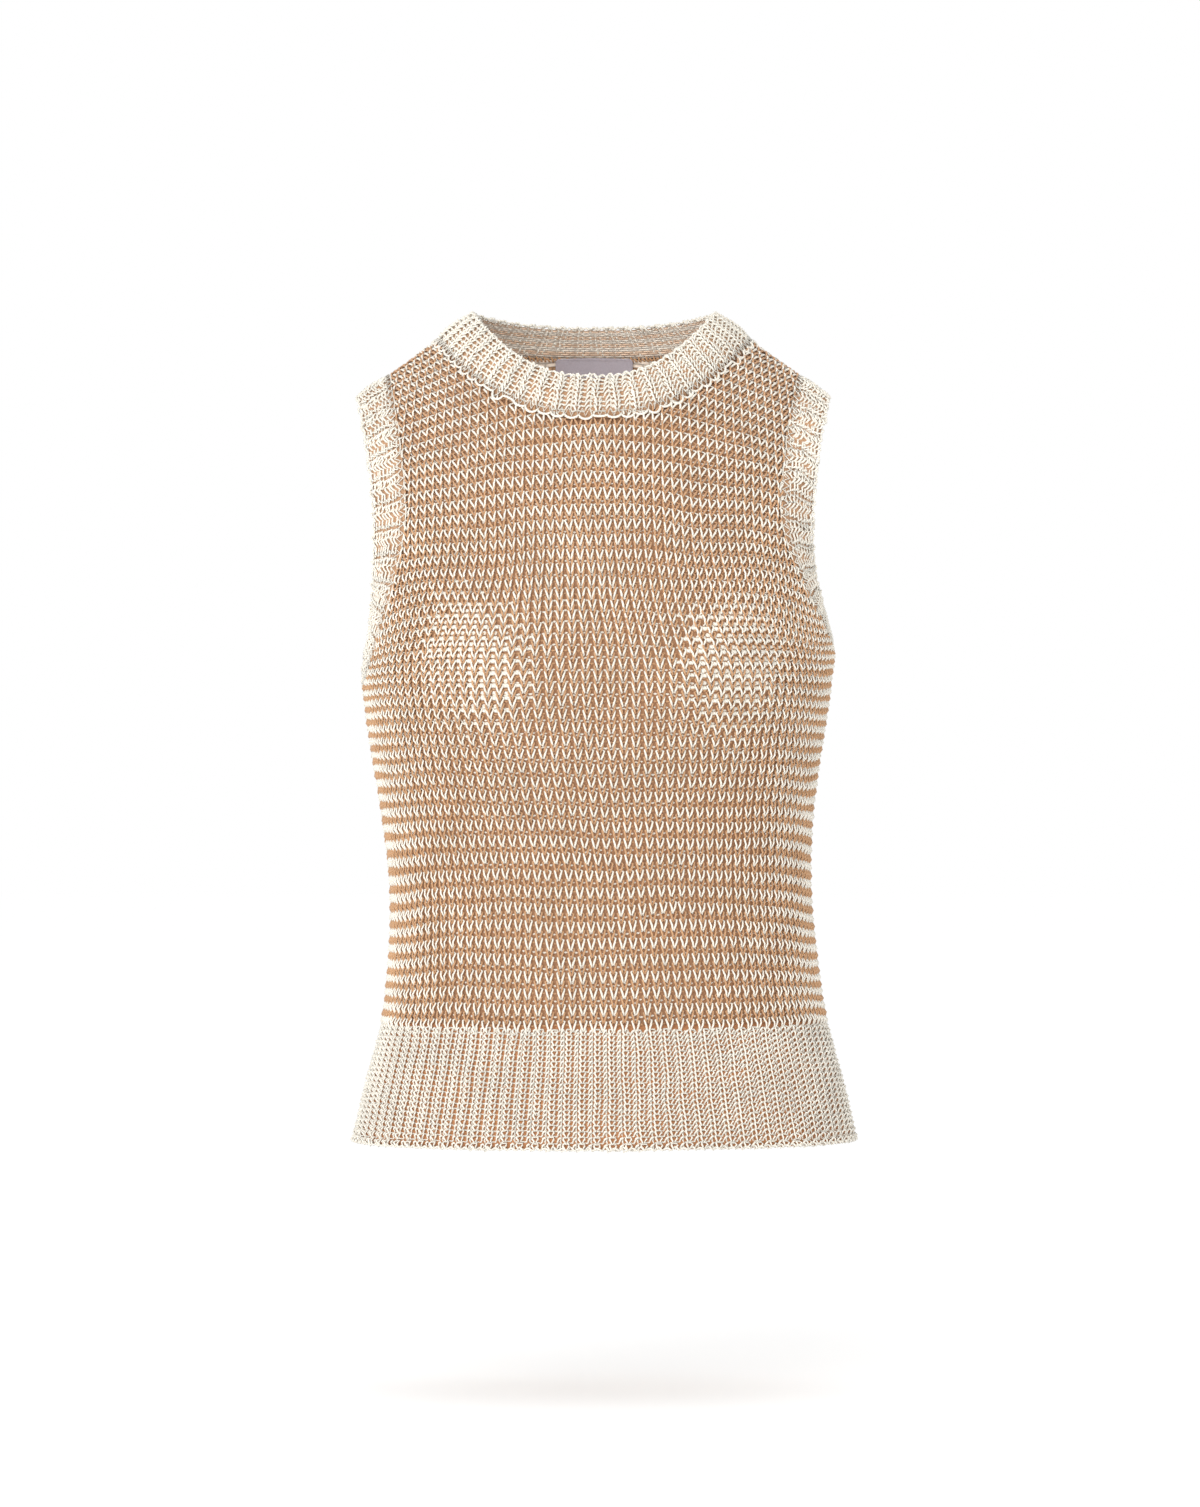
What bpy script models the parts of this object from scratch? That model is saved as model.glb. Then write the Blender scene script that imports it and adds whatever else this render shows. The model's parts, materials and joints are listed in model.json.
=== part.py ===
"""A knit tank top, worn: two panels, two hem ribs, a neckband, two armbands and a neck label.

All the cloth lies on one form, the torso of a general figure. Up to the fullest level the form is
a stack of rings, one for each row of SECTIONS. Above it every upright line of the cloth arches over
to the shoulder ridge, in front and behind. The outlines of the pieces are curves on that form.

The front faces -Y and the wearer's left is +X. Heights in the tables are measured from the hem
edge. The origin is where the straps rest on the shoulders.
"""

import bpy
import numpy as np

HOLD_HEIGHT = 0.470  # from the hem edge to the rest of the straps on the shoulders

PANEL_WALL = 0.0026
RIB_WALL = 0.0030
LABEL_WALL = 0.0010
SEAM_GAP = 0.0003

HEM_DEPTH = 0.073
FULL_HEIGHT = 0.280  # the fullest level, where the rings end and the arches begin

# Rings of the form, from the hem edge to the fullest level and on to the virtual rings that the
# armholes cut away. turn is the twist of the pose about the upright axis, and sway its lean.
SECTION_COLUMNS = ("height", "half_width", "front", "back", "roundness", "turn_deg", "sway")
SECTIONS = (
    (0.000, 0.1510, 0.113, 0.110, 2.10, 5.5, 0.0054),
    (0.036, 0.1425, 0.107, 0.106, 2.10, 5.5, 0.0054),
    (0.073, 0.1325, 0.100, 0.099, 2.15, 5.5, 0.0052),
    (0.110, 0.1278, 0.096, 0.088, 2.15, 5.4, 0.0044),
    (0.150, 0.1255, 0.095, 0.081, 2.15, 5.2, 0.0030),
    (0.200, 0.1290, 0.103, 0.083, 2.20, 4.2, 0.0010),
    (0.240, 0.1350, 0.113, 0.088, 2.25, 3.2, 0.0003),
    (0.280, 0.1405, 0.120, 0.093, 2.30, 2.2, 0.0005),
    (0.330, 0.1460, 0.120, 0.093, 2.30, 1.0, -0.0014),
    (0.400, 0.1560, 0.120, 0.093, 2.30, 0.0, -0.0014),
    (0.560, 0.1640, 0.120, 0.093, 2.30, 0.0, -0.0004),
)

# The soft fullness of the front at the bust, one low mound on each side.
BUST_RISE = 0.006
BUST_OUT = 0.068
BUST_SPREAD = 0.036
BUST_HEIGHT = 0.275
BUST_TALL = 0.045

# The shoulder ridge, where the front and the back meet.
NECK_CORNER_X = 0.095
NECK_CORNER_HEIGHT = 0.4785
SHOULDER_SLOPE = 0.78
RIDGE_ROUNDING = 0.040
RIDGE_Y = 0.004
ARCH_POWER = {"front": 0.80, "back": 0.43}  # the lower, the further a side stays out
FACING = {"front": -1.0, "back": 1.0}

# Neck seam and neckband edge, as drops below the shoulder corner at the centre of each side.
NECK_POWER = 2.4
NECK_DROP = {"front": 0.049, "back": 0.007}
BAND_EDGE_X = 0.073
BAND_EDGE_HEIGHT = 0.4955
BAND_EDGE_Y = {"front": -0.065, "back": 0.051}
BAND_EDGE_DROP = {"front": 0.041, "back": 0.006}
NECKBAND_BULGE = 0.0015

# Armholes. The seam leaves the side line at the underarm, runs in to its narrowest place and out
# again to the shoulder tip. The outer edge of the band is a smaller loop about the arm.
UNDERARM_HEIGHT = {"right": 0.270, "left": 0.290}
SIDE_SIGN = {"right": -1.0, "left": 1.0}
ARM_IN_X = 0.1107
ARM_IN_HEIGHT = 0.375
TIP_X = 0.1225
ARM_LOW_POWERS = (1.2, 1.7)  # how the seam curves in below the narrowest place
ARM_TOP_POWER = 1.5  # and out again above it
CUFF_X = {"low": 0.1368, "mid": 0.1302, "top": 0.1412}
CUFF_RISE = 0.025
CUFF_TOP_HEIGHT = 0.4455
CUFF_HALF_DEPTH = 0.050
CUFF_ROUND_POWER = 0.8  # under 1 squares the loop a little
CUFF_BACK_SHIFT = 0.002
CUFF_MID_HEIGHT = 0.360
ARMBAND_BULGE = 0.0010

# The label, sewn in under the back neck seam.
LABEL_WIDTH = 0.048
LABEL_HEIGHT = 0.018
LABEL_BELOW_SEAM = 0.0030

# How finely each piece is divided.
NECK_STEPS = 10  # along the neck seam of a half panel
SHOULDER_STEPS = 4
ARMHOLE_STEPS = 14
LOW_STEPS = 13  # up a panel, from the hem seam to the underarm
HEM_STEPS = 4
BAND_STEPS = 3
LABEL_STEPS = (8, 3)
SHARP_ANGLE = 50  # degrees; a wall's rim stays sharp and its faces are smooth

CREAM = (0.79, 0.70, 0.57)
TAN = (0.53, 0.33, 0.18)
LILAC = (0.33, 0.30, 0.34)


def section(column, height):
    """A column of SECTIONS at any height, on a smooth curve through its rows (cubic Hermite)."""
    table = np.array(SECTIONS)
    at = table[:, 0]
    value = table[:, SECTION_COLUMNS.index(column)]
    slope = np.gradient(value, at)
    height = np.clip(height, at[0], at[-1])
    low = np.clip(np.searchsorted(at, height, side="right") - 1, 0, len(at) - 2)
    span = at[low + 1] - at[low]
    t = (height - at[low]) / span
    rise = value[low + 1] - value[low]
    bend_low = slope[low] * span - rise
    bend_high = rise - slope[low + 1] * span
    return value[low] + t * rise + t * (1 - t) * ((1 - t) * bend_low + t * bend_high)


def ridge_height(x):
    """The shoulder ridge: a straight slope that rounds off over the middle, at sqrt(x^2 + r^2)."""
    run = np.hypot(x, RIDGE_ROUNDING) - np.hypot(NECK_CORNER_X, RIDGE_ROUNDING)
    return NECK_CORNER_HEIGHT - SHOULDER_SLOPE * run


def level_height(x, level):
    """Level 0 to 1 rises straight to the fullest ring, and 1 to 2 arches over to the ridge."""
    climb = np.sin(np.clip(level - 1, 0, 1) * np.pi / 2)
    return FULL_HEIGHT * np.minimum(level, 1) + (ridge_height(x) - FULL_HEIGHT) * climb


def virtual_height(level):
    """The height at which a level reads its half width, so that a ring's width is its own."""
    centre = ridge_height(NECK_CORNER_X)
    climb = np.sin(np.clip(level - 1, 0, 1) * np.pi / 2)
    return FULL_HEIGHT * np.minimum(level, 1) + (centre - FULL_HEIGHT) * climb


def on_form(round_share, level, side):
    """Points on the form: round_share -1 to 1 from side line to side line, level 0 to 2.

    x = half width * sin(90 deg * round_share), and the depth follows the superellipse
    (1 - |x / half width|^n)^(1/n). Above the fullest level it shrinks by (1 - climb^2)^power.
    """
    round_share, level = np.broadcast_arrays(round_share, level)
    share = np.sin(np.clip(round_share, -1, 1) * np.pi / 2)
    ring = virtual_height(level)
    x = section("half_width", ring) * share
    z = level_height(x, level)
    climb = np.sin(np.clip(level - 1, 0, 1) * np.pi / 2)
    arch = np.clip(1 - climb**2, 0, 1) ** ARCH_POWER[side]
    n = section("roundness", ring)
    girth = np.clip(1 - np.abs(share) ** n, 0, 1) ** (1 / n)
    depth = section(side, ring) * girth * arch
    if side == "front":
        across = np.exp(-(((np.abs(x) - BUST_OUT) / BUST_SPREAD) ** 2))
        depth = depth + BUST_RISE * across * np.exp(-(((z - BUST_HEIGHT) / BUST_TALL) ** 2))
    y = RIDGE_Y * (1 - arch) + FACING[side] * (depth + SEAM_GAP / 2)
    return posed(np.stack([x, y, z], axis=-1))


def posed(points):
    """The points turned and swayed at their own heights, with the origin at the hold."""
    x, y, z = np.moveaxis(np.asarray(points, float), -1, 0)
    turn = np.radians(section("turn_deg", z))
    turned_x = x * np.cos(turn) - y * np.sin(turn) + section("sway", z)
    turned_y = x * np.sin(turn) + y * np.cos(turn)
    return np.stack([turned_x, turned_y, z - HOLD_HEIGHT], axis=-1)


def unit(vectors):
    return vectors / np.maximum(np.linalg.norm(vectors, axis=-1, keepdims=True), 1e-12)


def out_of_form(round_share, level, side):
    """The outward normal of the form: the cross product of its two slopes."""
    step = 1e-3
    wide = on_form(np.clip(round_share + step, -1, 1), level, side)
    wide = wide - on_form(np.clip(round_share - step, -1, 1), level, side)
    tall = on_form(round_share, np.clip(level + step, 0, 2), side)
    tall = tall - on_form(round_share, np.clip(level - step, 0, 2), side)
    return unit(np.cross(wide, tall)) * -FACING[side]


def place_on_form(x, height):
    """The round_share and level of a point given by its place in the front view."""
    climb = np.clip((height - FULL_HEIGHT) / (ridge_height(x) - FULL_HEIGHT), 0, 1)
    level = np.where(height < FULL_HEIGHT, height / FULL_HEIGHT, 1 + np.arcsin(climb) * 2 / np.pi)
    share = np.clip(x / section("half_width", virtual_height(level)), -1, 1)
    return np.arcsin(share) * 2 / np.pi, level


def neck_seam(angle, side):
    """The neck seam in the front view, at angles from 0 at the centre to 90 deg at the ridge."""
    drop = NECK_DROP[side] * (1 - np.sin(angle) ** NECK_POWER)
    return place_on_form(NECK_CORNER_X * np.sin(angle), NECK_CORNER_HEIGHT - drop)


def armhole_seam(share, hand):
    """The armhole seam in the front view, share 0 at the underarm to 1 at the shoulder tip."""
    low = UNDERARM_HEIGHT[hand]
    top = ridge_height(TIP_X)
    height = low + (top - low) * (1 - np.cos(np.pi * share)) / 2
    side_x = section("half_width", low)
    down = np.clip((height - low) / (ARM_IN_HEIGHT - low), 0, 1)
    up = np.clip((height - ARM_IN_HEIGHT) / (top - ARM_IN_HEIGHT), 0, 1)
    start, end = ARM_LOW_POWERS
    x = ARM_IN_X + (side_x - ARM_IN_X) * (1 - down**start) ** end
    x = x + (TIP_X - ARM_IN_X) * up**ARM_TOP_POWER
    round_share, level = place_on_form(x, height)
    round_share = np.where(share == 0, 1.0, round_share)
    level = np.where(share == 1, 2.0, level)
    return round_share, level


def half_top(side):
    """The top edge of a half panel: along the neck seam, then along the shoulder to the tip."""
    angle = np.linspace(0, np.pi / 2, NECK_STEPS + 1)
    neck_round, neck_level = neck_seam(angle, side)
    neck_level[-1] = 2.0
    tip_round, _ = place_on_form(TIP_X, ridge_height(TIP_X))
    shoulder_round = np.linspace(neck_round[-1], tip_round, SHOULDER_STEPS + 1)[1:]
    shoulder_level = np.full(SHOULDER_STEPS, 2.0)
    return np.append(neck_round, shoulder_round), np.append(neck_level, shoulder_level)


def half_panel(side, hand):
    """round_share and level of a half panel's grid, rows from hem to top, columns from the centre.

    Rows up to the underarm are level. Above it the grid is a Coons patch between the underarm row,
    the centre line, the armhole and the top edge.
    """
    columns = NECK_STEPS + SHOULDER_STEPS
    along = np.linspace(0, 1, columns + 1)
    up = np.linspace(0, 1, ARMHOLE_STEPS + 1)
    underarm = armhole_seam(np.array(0.0), hand)[1]
    foot = 1 + (underarm - 1) * along
    bottom = np.stack([along, foot])
    top = np.stack(half_top(side))
    edge = np.stack(armhole_seam(up, hand))
    centre = np.stack([0 * up, foot[0] + (top[1, 0] - foot[0]) * up])
    s = along[None, None, :]
    q = up[None, :, None]
    ruled = (1 - q) * bottom[:, None, :] + q * top[:, None, :]
    ruled = ruled + (1 - s) * centre[:, :, None] + s * edge[:, :, None]
    corners = (1 - s) * (1 - q) * bottom[:, 0, None, None] + s * (1 - q) * bottom[:, -1, None, None]
    corners = corners + (1 - s) * q * top[:, 0, None, None] + s * q * top[:, -1, None, None]
    upper = ruled - corners
    start = (HEM_DEPTH + SEAM_GAP / 2) / FULL_HEIGHT
    rise = np.linspace(0, 1, LOW_STEPS + 1)[:-1, None]
    lower = np.stack([along + 0 * rise, start + (foot - start) * rise])
    return np.concatenate([lower, upper], axis=1)


def panel_grid(side):
    """The two half panels side by side, from the wearer's right to the left."""
    right = half_panel(side, "right")[:, :, :0:-1] * np.array([-1.0, 1.0])[:, None, None]
    left = half_panel(side, "left")
    return np.concatenate([right, left], axis=2)


def wall_mesh(name, middle, normal, wall, closed=False):
    """Two skins, half a wall to each side of a grid of points, and a rim that joins them.

    A closed grid is a ring: its last column meets its first, so only its two edges have a rim.
    """
    rows, columns = middle.shape[:2]
    outer = (middle + normal * wall / 2).reshape(-1, 3)
    inner = (middle - normal * wall / 2).reshape(-1, 3)
    index = np.arange(rows * columns).reshape(rows, columns)
    right = np.roll(index, -1, axis=1) if closed else index[:, 1:]
    left = index if closed else index[:, :-1]
    quads = np.stack([left[:-1], right[:-1], right[1:], left[1:]], axis=-1).reshape(-1, 4)
    ends = [np.stack([left[0], right[0]], -1), np.stack([right[-1], left[-1]], -1)]
    if not closed:
        ends.append(np.stack([index[1:, 0], index[:-1, 0]], -1))
        ends.append(np.stack([index[:-1, -1], index[1:, -1]], -1))
    edges = np.concatenate(ends)
    away = rows * columns
    rim = np.stack([edges[:, 1], edges[:, 0], edges[:, 0] + away, edges[:, 1] + away], axis=-1)
    faces = np.concatenate([quads, quads[:, ::-1] + away, rim])
    mesh = bpy.data.meshes.new(name)
    mesh.from_pydata(np.concatenate([outer, inner]).tolist(), [], faces.tolist())
    mesh.validate()
    mesh.shade_smooth()
    mesh.set_sharp_from_angle(angle=np.radians(SHARP_ANGLE))
    return mesh


def facing_out(middle, normal):
    """The grid with its columns reversed if its faces would point against its normals."""
    across = middle[1:-1, 2:] - middle[1:-1, :-2]
    upward = middle[2:, 1:-1] - middle[:-2, 1:-1]
    agree = np.sum(np.cross(across, upward) * normal[1:-1, 1:-1])
    return (middle, normal) if agree > 0 else (middle[:, ::-1], normal[:, ::-1])


def cloth_piece(name, middle, normal, wall, material, closed=False):
    middle, normal = facing_out(middle, normal)
    piece = bpy.data.objects.new(name, wall_mesh(name, middle, normal, wall, closed))
    piece.data.materials.append(material)
    bpy.context.scene.collection.objects.link(piece)
    return piece


def finish(name, colour, roughness, sheen):
    material = bpy.data.materials.new(name)
    material.use_nodes = True
    shader = material.node_tree.nodes["Principled BSDF"]
    shader.inputs["Base Color"].default_value = (*colour, 1)
    shader.inputs["Roughness"].default_value = roughness
    shader.inputs["Metallic"].default_value = 0.0
    shader.inputs["Sheen Weight"].default_value = sheen
    return material


def panel(side, material):
    round_share, level = panel_grid(side)
    middle = on_form(round_share, level, side)
    normal = out_of_form(round_share, level, side)
    cloth_piece(side + "_panel", middle, normal, PANEL_WALL, material)


def hem_rib(side, material):
    columns = 2 * (NECK_STEPS + SHOULDER_STEPS)
    top = (HEM_DEPTH - SEAM_GAP / 2) / FULL_HEIGHT
    round_share, level = np.meshgrid(np.linspace(-1, 1, columns + 1), np.linspace(0, top, HEM_STEPS + 1))
    middle = on_form(round_share, level, side)
    normal = out_of_form(round_share, level, side)
    cloth_piece(side + "_hem_rib", middle, normal, RIB_WALL, material)


def strip(seam, seam_normal, edge, bulge):
    """Rows of points from a seam to a free edge, swelling outwards by bulge * sin(180 deg * row)."""
    along = unit(edge - seam)
    start = seam + along * SEAM_GAP
    around = np.roll(start, -1, axis=0) - np.roll(start, 1, axis=0)
    face = unit(np.cross(around, along))
    face = face * np.sign(np.sum(face * seam_normal))
    row = np.linspace(0, 1, BAND_STEPS + 1)[:, None, None]
    middle = start + (edge - start) * row + face * bulge * np.sin(np.pi * row)
    normal = unit(seam_normal * (1 - row) ** 2 + face * (1 - (1 - row) ** 2))
    return middle, normal


def neckband(material):
    """Round the neck from the front centre to the wearer's left, the back and the right."""
    angles = np.linspace(0, np.pi / 2, NECK_STEPS + 1)
    seam, out, edge = [], [], []
    quarters = (("front", 1, False), ("back", 1, True), ("back", -1, False), ("front", -1, True))
    for side, hand_sign, backwards in quarters:
        angle = (angles[::-1] if backwards else angles)[:-1]
        round_share, level = neck_seam(angle, side)
        corner = np.isclose(angle, np.pi / 2)
        level = np.where(corner, 2.0, level)
        points = on_form(hand_sign * round_share, level, side)
        points[corner, 1] -= FACING[side] * SEAM_GAP / 2
        seam.append(points)
        out.append(out_of_form(hand_sign * round_share, level, side))
        x = hand_sign * BAND_EDGE_X * np.sin(angle)
        y = RIDGE_Y + (BAND_EDGE_Y[side] - RIDGE_Y) * np.cos(angle)
        z = BAND_EDGE_HEIGHT - BAND_EDGE_DROP[side] * (1 - np.sin(angle) ** NECK_POWER)
        edge.append(posed(np.stack([x, y, z], axis=-1)))
    middle, normal = strip(*map(np.concatenate, (seam, out, edge)), NECKBAND_BULGE)
    cloth_piece("neckband", middle, normal, RIB_WALL, material, closed=True)


def cuff_edge(share, side, hand):
    """The outer edge of an armband, at the shares of the seam."""
    low = UNDERARM_HEIGHT[hand] + CUFF_RISE
    z = low + (CUFF_TOP_HEIGHT - low) * (1 - np.cos(np.pi * share)) / 2
    down = np.clip((CUFF_MID_HEIGHT - z) / (CUFF_MID_HEIGHT - low), 0, 1)
    up = np.clip((z - CUFF_MID_HEIGHT) / (CUFF_TOP_HEIGHT - CUFF_MID_HEIGHT), 0, 1)
    x = CUFF_X["mid"] + (CUFF_X["low"] - CUFF_X["mid"]) * down**2
    x = x + (CUFF_X["top"] - CUFF_X["mid"]) * up**2
    y = CUFF_BACK_SHIFT + FACING[side] * CUFF_HALF_DEPTH * np.sin(np.pi * share) ** CUFF_ROUND_POWER
    return posed(np.stack([SIDE_SIGN[hand] * x, y, z], axis=-1))


def armband(hand, material):
    """Up the front of the armhole from the underarm to the tip, and down the back."""
    up = np.linspace(0, 1, ARMHOLE_STEPS + 1)
    seam, out, edge = [], [], []
    for side, share in (("front", up[:-1]), ("back", up[:0:-1])):
        round_share, level = armhole_seam(share, hand)
        points = on_form(SIDE_SIGN[hand] * round_share, level, side)
        points[0, 1] -= FACING[side] * SEAM_GAP / 2
        seam.append(points)
        out.append(out_of_form(SIDE_SIGN[hand] * round_share, level, side))
        edge.append(cuff_edge(share, side, hand))
    middle, normal = strip(*map(np.concatenate, (seam, out, edge)), ARMBAND_BULGE)
    cloth_piece(hand + "_armband", middle, normal, RIB_WALL, material, closed=True)


def neck_label(material):
    """A tab on the inside of the back panel, made from the panel's own points, moved in."""
    across = np.linspace(-0.5, 0.5, LABEL_STEPS[0] + 1) * LABEL_WIDTH
    top = NECK_CORNER_HEIGHT - NECK_DROP["back"] - LABEL_BELOW_SEAM
    x, height = np.meshgrid(across, top + np.linspace(-1, 0, LABEL_STEPS[1] + 1) * LABEL_HEIGHT)
    round_share, level = place_on_form(x, height)
    normal = out_of_form(round_share, level, "back")
    inwards = PANEL_WALL / 2 + SEAM_GAP + LABEL_WALL / 2
    middle = on_form(round_share, level, "back") - normal * inwards
    cloth_piece("neck_label", middle, normal, LABEL_WALL, material)


for old in list(bpy.data.objects):
    bpy.data.objects.remove(old, do_unlink=True)

striped_knit = finish("striped_knit", TAN, 0.85, 0.3)
cream_rib = finish("cream_rib", CREAM, 0.85, 0.3)
satin = finish("satin", LILAC, 0.45, 0.0)

for face in ("front", "back"):
    panel(face, striped_knit)
    hem_rib(face, cream_rib)
neckband(cream_rib)
for wearer_side in ("right", "left"):
    armband(wearer_side, cream_rib)
neck_label(satin)
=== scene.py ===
# %% [markdown]
# # A knit tank top, stitch by stitch
#
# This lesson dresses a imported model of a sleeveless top. The real garment is not a sheet with a
# picture of knitting on it: it is yarn. One strand of cream and one of tan take turns, row by row,
# and every row hangs in the loops of the row below. Light falls through the gaps, the edges are
# knobby, and where the cloth is stretched the loops open. So the yarn itself is modelled here, and
# the plain walls of the model are only the form that it lies on.
#
# The first step loads that form. Everything is in metres, +Z is up, the front faces -Y and the
# wearer's left is +X.

# %% Load the frame
import bpy
import json
import numpy as np
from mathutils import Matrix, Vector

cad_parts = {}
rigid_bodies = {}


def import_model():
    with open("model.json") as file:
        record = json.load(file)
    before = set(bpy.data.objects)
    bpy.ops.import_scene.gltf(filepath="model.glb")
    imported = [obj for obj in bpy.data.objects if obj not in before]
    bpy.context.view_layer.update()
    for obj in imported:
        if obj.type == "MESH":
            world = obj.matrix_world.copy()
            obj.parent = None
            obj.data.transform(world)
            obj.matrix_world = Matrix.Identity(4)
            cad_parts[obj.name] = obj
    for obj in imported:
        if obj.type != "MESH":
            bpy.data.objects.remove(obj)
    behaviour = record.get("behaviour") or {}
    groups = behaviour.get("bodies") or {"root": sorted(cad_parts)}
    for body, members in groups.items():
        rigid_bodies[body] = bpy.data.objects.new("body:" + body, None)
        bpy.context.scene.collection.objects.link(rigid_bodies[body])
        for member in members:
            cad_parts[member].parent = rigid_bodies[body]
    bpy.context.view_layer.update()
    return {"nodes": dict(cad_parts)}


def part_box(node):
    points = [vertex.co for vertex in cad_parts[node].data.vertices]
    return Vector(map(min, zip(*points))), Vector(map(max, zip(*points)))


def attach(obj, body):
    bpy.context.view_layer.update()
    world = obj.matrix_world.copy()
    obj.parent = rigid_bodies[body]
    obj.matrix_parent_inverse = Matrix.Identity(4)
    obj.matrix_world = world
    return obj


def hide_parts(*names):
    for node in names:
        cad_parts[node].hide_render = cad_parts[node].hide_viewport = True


for leftover in list(bpy.data.objects):
    bpy.data.objects.remove(leftover)
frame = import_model()
print("nodes:", ", ".join(sorted(frame["nodes"])))

# %% [markdown]
# ## The form under the cloth
#
# The walls were made from a short table of rings and a few curves. The yarn needs the same form at
# far more places, and reading it off the walls' own flat facets would leave steps in the rows. So
# the table is set down here again, and after it the formulas, which end with a comparison of the
# form with the walls.
#
# Up to the fullest level the form is a stack of superellipse rings. Above it each upright line
# arches over to the shoulder ridge. Heights are measured from the hem edge.

# %% The table of rings
HOLD_HEIGHT = 0.470
UNDERARM_HEIGHT = {"right": 0.270, "left": 0.290}
HEM_DEPTH = 0.073
FULL_HEIGHT = 0.280
HEM_LEVEL = HEM_DEPTH / FULL_HEIGHT
RING_COLUMNS = ("height", "half_width", "front", "back", "roundness", "turn_deg", "sway")
RINGS = np.array((
    (0.000, 0.1510, 0.113, 0.110, 2.10, 5.5, 0.0054),
    (0.036, 0.1425, 0.107, 0.106, 2.10, 5.5, 0.0054),
    (0.073, 0.1325, 0.100, 0.099, 2.15, 5.5, 0.0052),
    (0.110, 0.1278, 0.096, 0.088, 2.15, 5.4, 0.0044),
    (0.150, 0.1255, 0.095, 0.081, 2.15, 5.2, 0.0030),
    (0.200, 0.1290, 0.103, 0.083, 2.20, 4.2, 0.0010),
    (0.240, 0.1350, 0.113, 0.088, 2.25, 3.2, 0.0003),
    (0.280, 0.1405, 0.120, 0.093, 2.30, 2.2, 0.0005),
    (0.330, 0.1460, 0.120, 0.093, 2.30, 1.0, -0.0014),
    (0.400, 0.1560, 0.120, 0.093, 2.30, 0.0, -0.0014),
    (0.560, 0.1640, 0.120, 0.093, 2.30, 0.0, -0.0004),
))
RING_SLOPES = np.gradient(RINGS, RINGS[:, 0], axis=0)
BUST = {"rise": 0.006, "out": 0.068, "spread": 0.036, "height": 0.275, "tall": 0.045}
NECK_CORNER = {"x": 0.095, "height": 0.4785}
SHOULDER_SLOPE = 0.78
RIDGE_ROUNDING = 0.040
RIDGE_Y = 0.004
ARCH_POWER = {"front": 0.80, "back": 0.43}
FACING = {"front": -1.0, "back": 1.0}
STEP = 2e-3  # of a share or a level, for slopes


def ring(column, height):
    """A column of RINGS at any height, on a cubic through its rows and their slopes."""
    at = RINGS[:, 0]
    value = RINGS[:, RING_COLUMNS.index(column)]
    slope = RING_SLOPES[:, RING_COLUMNS.index(column)]
    height = np.clip(height, at[0], at[-1])
    low = np.clip(np.searchsorted(at, height, side="right") - 1, 0, len(at) - 2)
    span = at[low + 1] - at[low]
    t = (height - at[low]) / span
    rise = value[low + 1] - value[low]
    bend_low = slope[low] * span - rise
    bend_high = rise - slope[low + 1] * span
    return value[low] + t * rise + t * (1 - t) * ((1 - t) * bend_low + t * bend_high)


print("half widths every 100 mm:", np.round(ring("half_width", np.arange(0, 0.5, 0.1)), 4))


# %% Points on the form
def ramp(value, start, stop):
    """0 to 1 from start to stop, easing in and out."""
    share = np.clip((value - start) / (stop - start), 0, 1)
    return share * share * (3 - 2 * share)


def bell(value, centre, width):
    """exp(-(distance from the centre / width)^2): 1 at the centre and falling off round it."""
    return np.exp(-(((value - centre) / width) ** 2))


def unit(vectors):
    """Each vector made one long."""
    return vectors / np.maximum(np.linalg.norm(vectors, axis=-1, keepdims=True), 1e-12)


def run_of(points, axis=0):
    """The length along paths from the first point of each to all its points."""
    steps = np.linalg.norm(np.diff(points, axis=axis), axis=-1)
    return np.cumsum(np.insert(steps, 0, 0, axis=axis), axis=axis)


def read_path(where, at, path):
    """The points of a path at other places than those that it has."""
    return np.stack([np.interp(where, at, path[:, k]) for k in range(3)], axis=-1)


def ridge_height(x):
    """The corner's height less slope * (sqrt(x^2 + r^2) - sqrt(corner^2 + r^2))."""
    run = np.hypot(x, RIDGE_ROUNDING) - np.hypot(NECK_CORNER["x"], RIDGE_ROUNDING)
    return NECK_CORNER["height"] - SHOULDER_SLOPE * run


def climb_of(level):
    """How far up its arch a level is: the sine of 90 deg * (level - 1), none below level 1."""
    return np.sin(np.clip(level - 1, 0, 1) * np.pi / 2)


def ring_height(level):
    """The height at which a level reads its ring: the same all along the ring."""
    return FULL_HEIGHT * np.minimum(level, 1) + (NECK_CORNER["height"] - FULL_HEIGHT) * climb_of(level)


def before_pose(share, level):
    """x = half width * sin(90 deg * share), and z = the fullest height + (ridge - it) * climb."""
    x = ring("half_width", ring_height(level)) * np.sin(np.clip(share, -1, 1) * np.pi / 2)
    z = FULL_HEIGHT * np.minimum(level, 1) + (ridge_height(x) - FULL_HEIGHT) * climb_of(level)
    return x, z


def posed(x, y, z):
    """Each point turned about the upright axis and swayed as its height asks, origin at the hold."""
    turn = np.radians(ring("turn_deg", z))
    turned_x = x * np.cos(turn) - y * np.sin(turn) + ring("sway", z)
    turned_y = x * np.sin(turn) + y * np.cos(turn)
    return np.stack([turned_x, turned_y, z - HOLD_HEIGHT], axis=-1)


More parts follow.
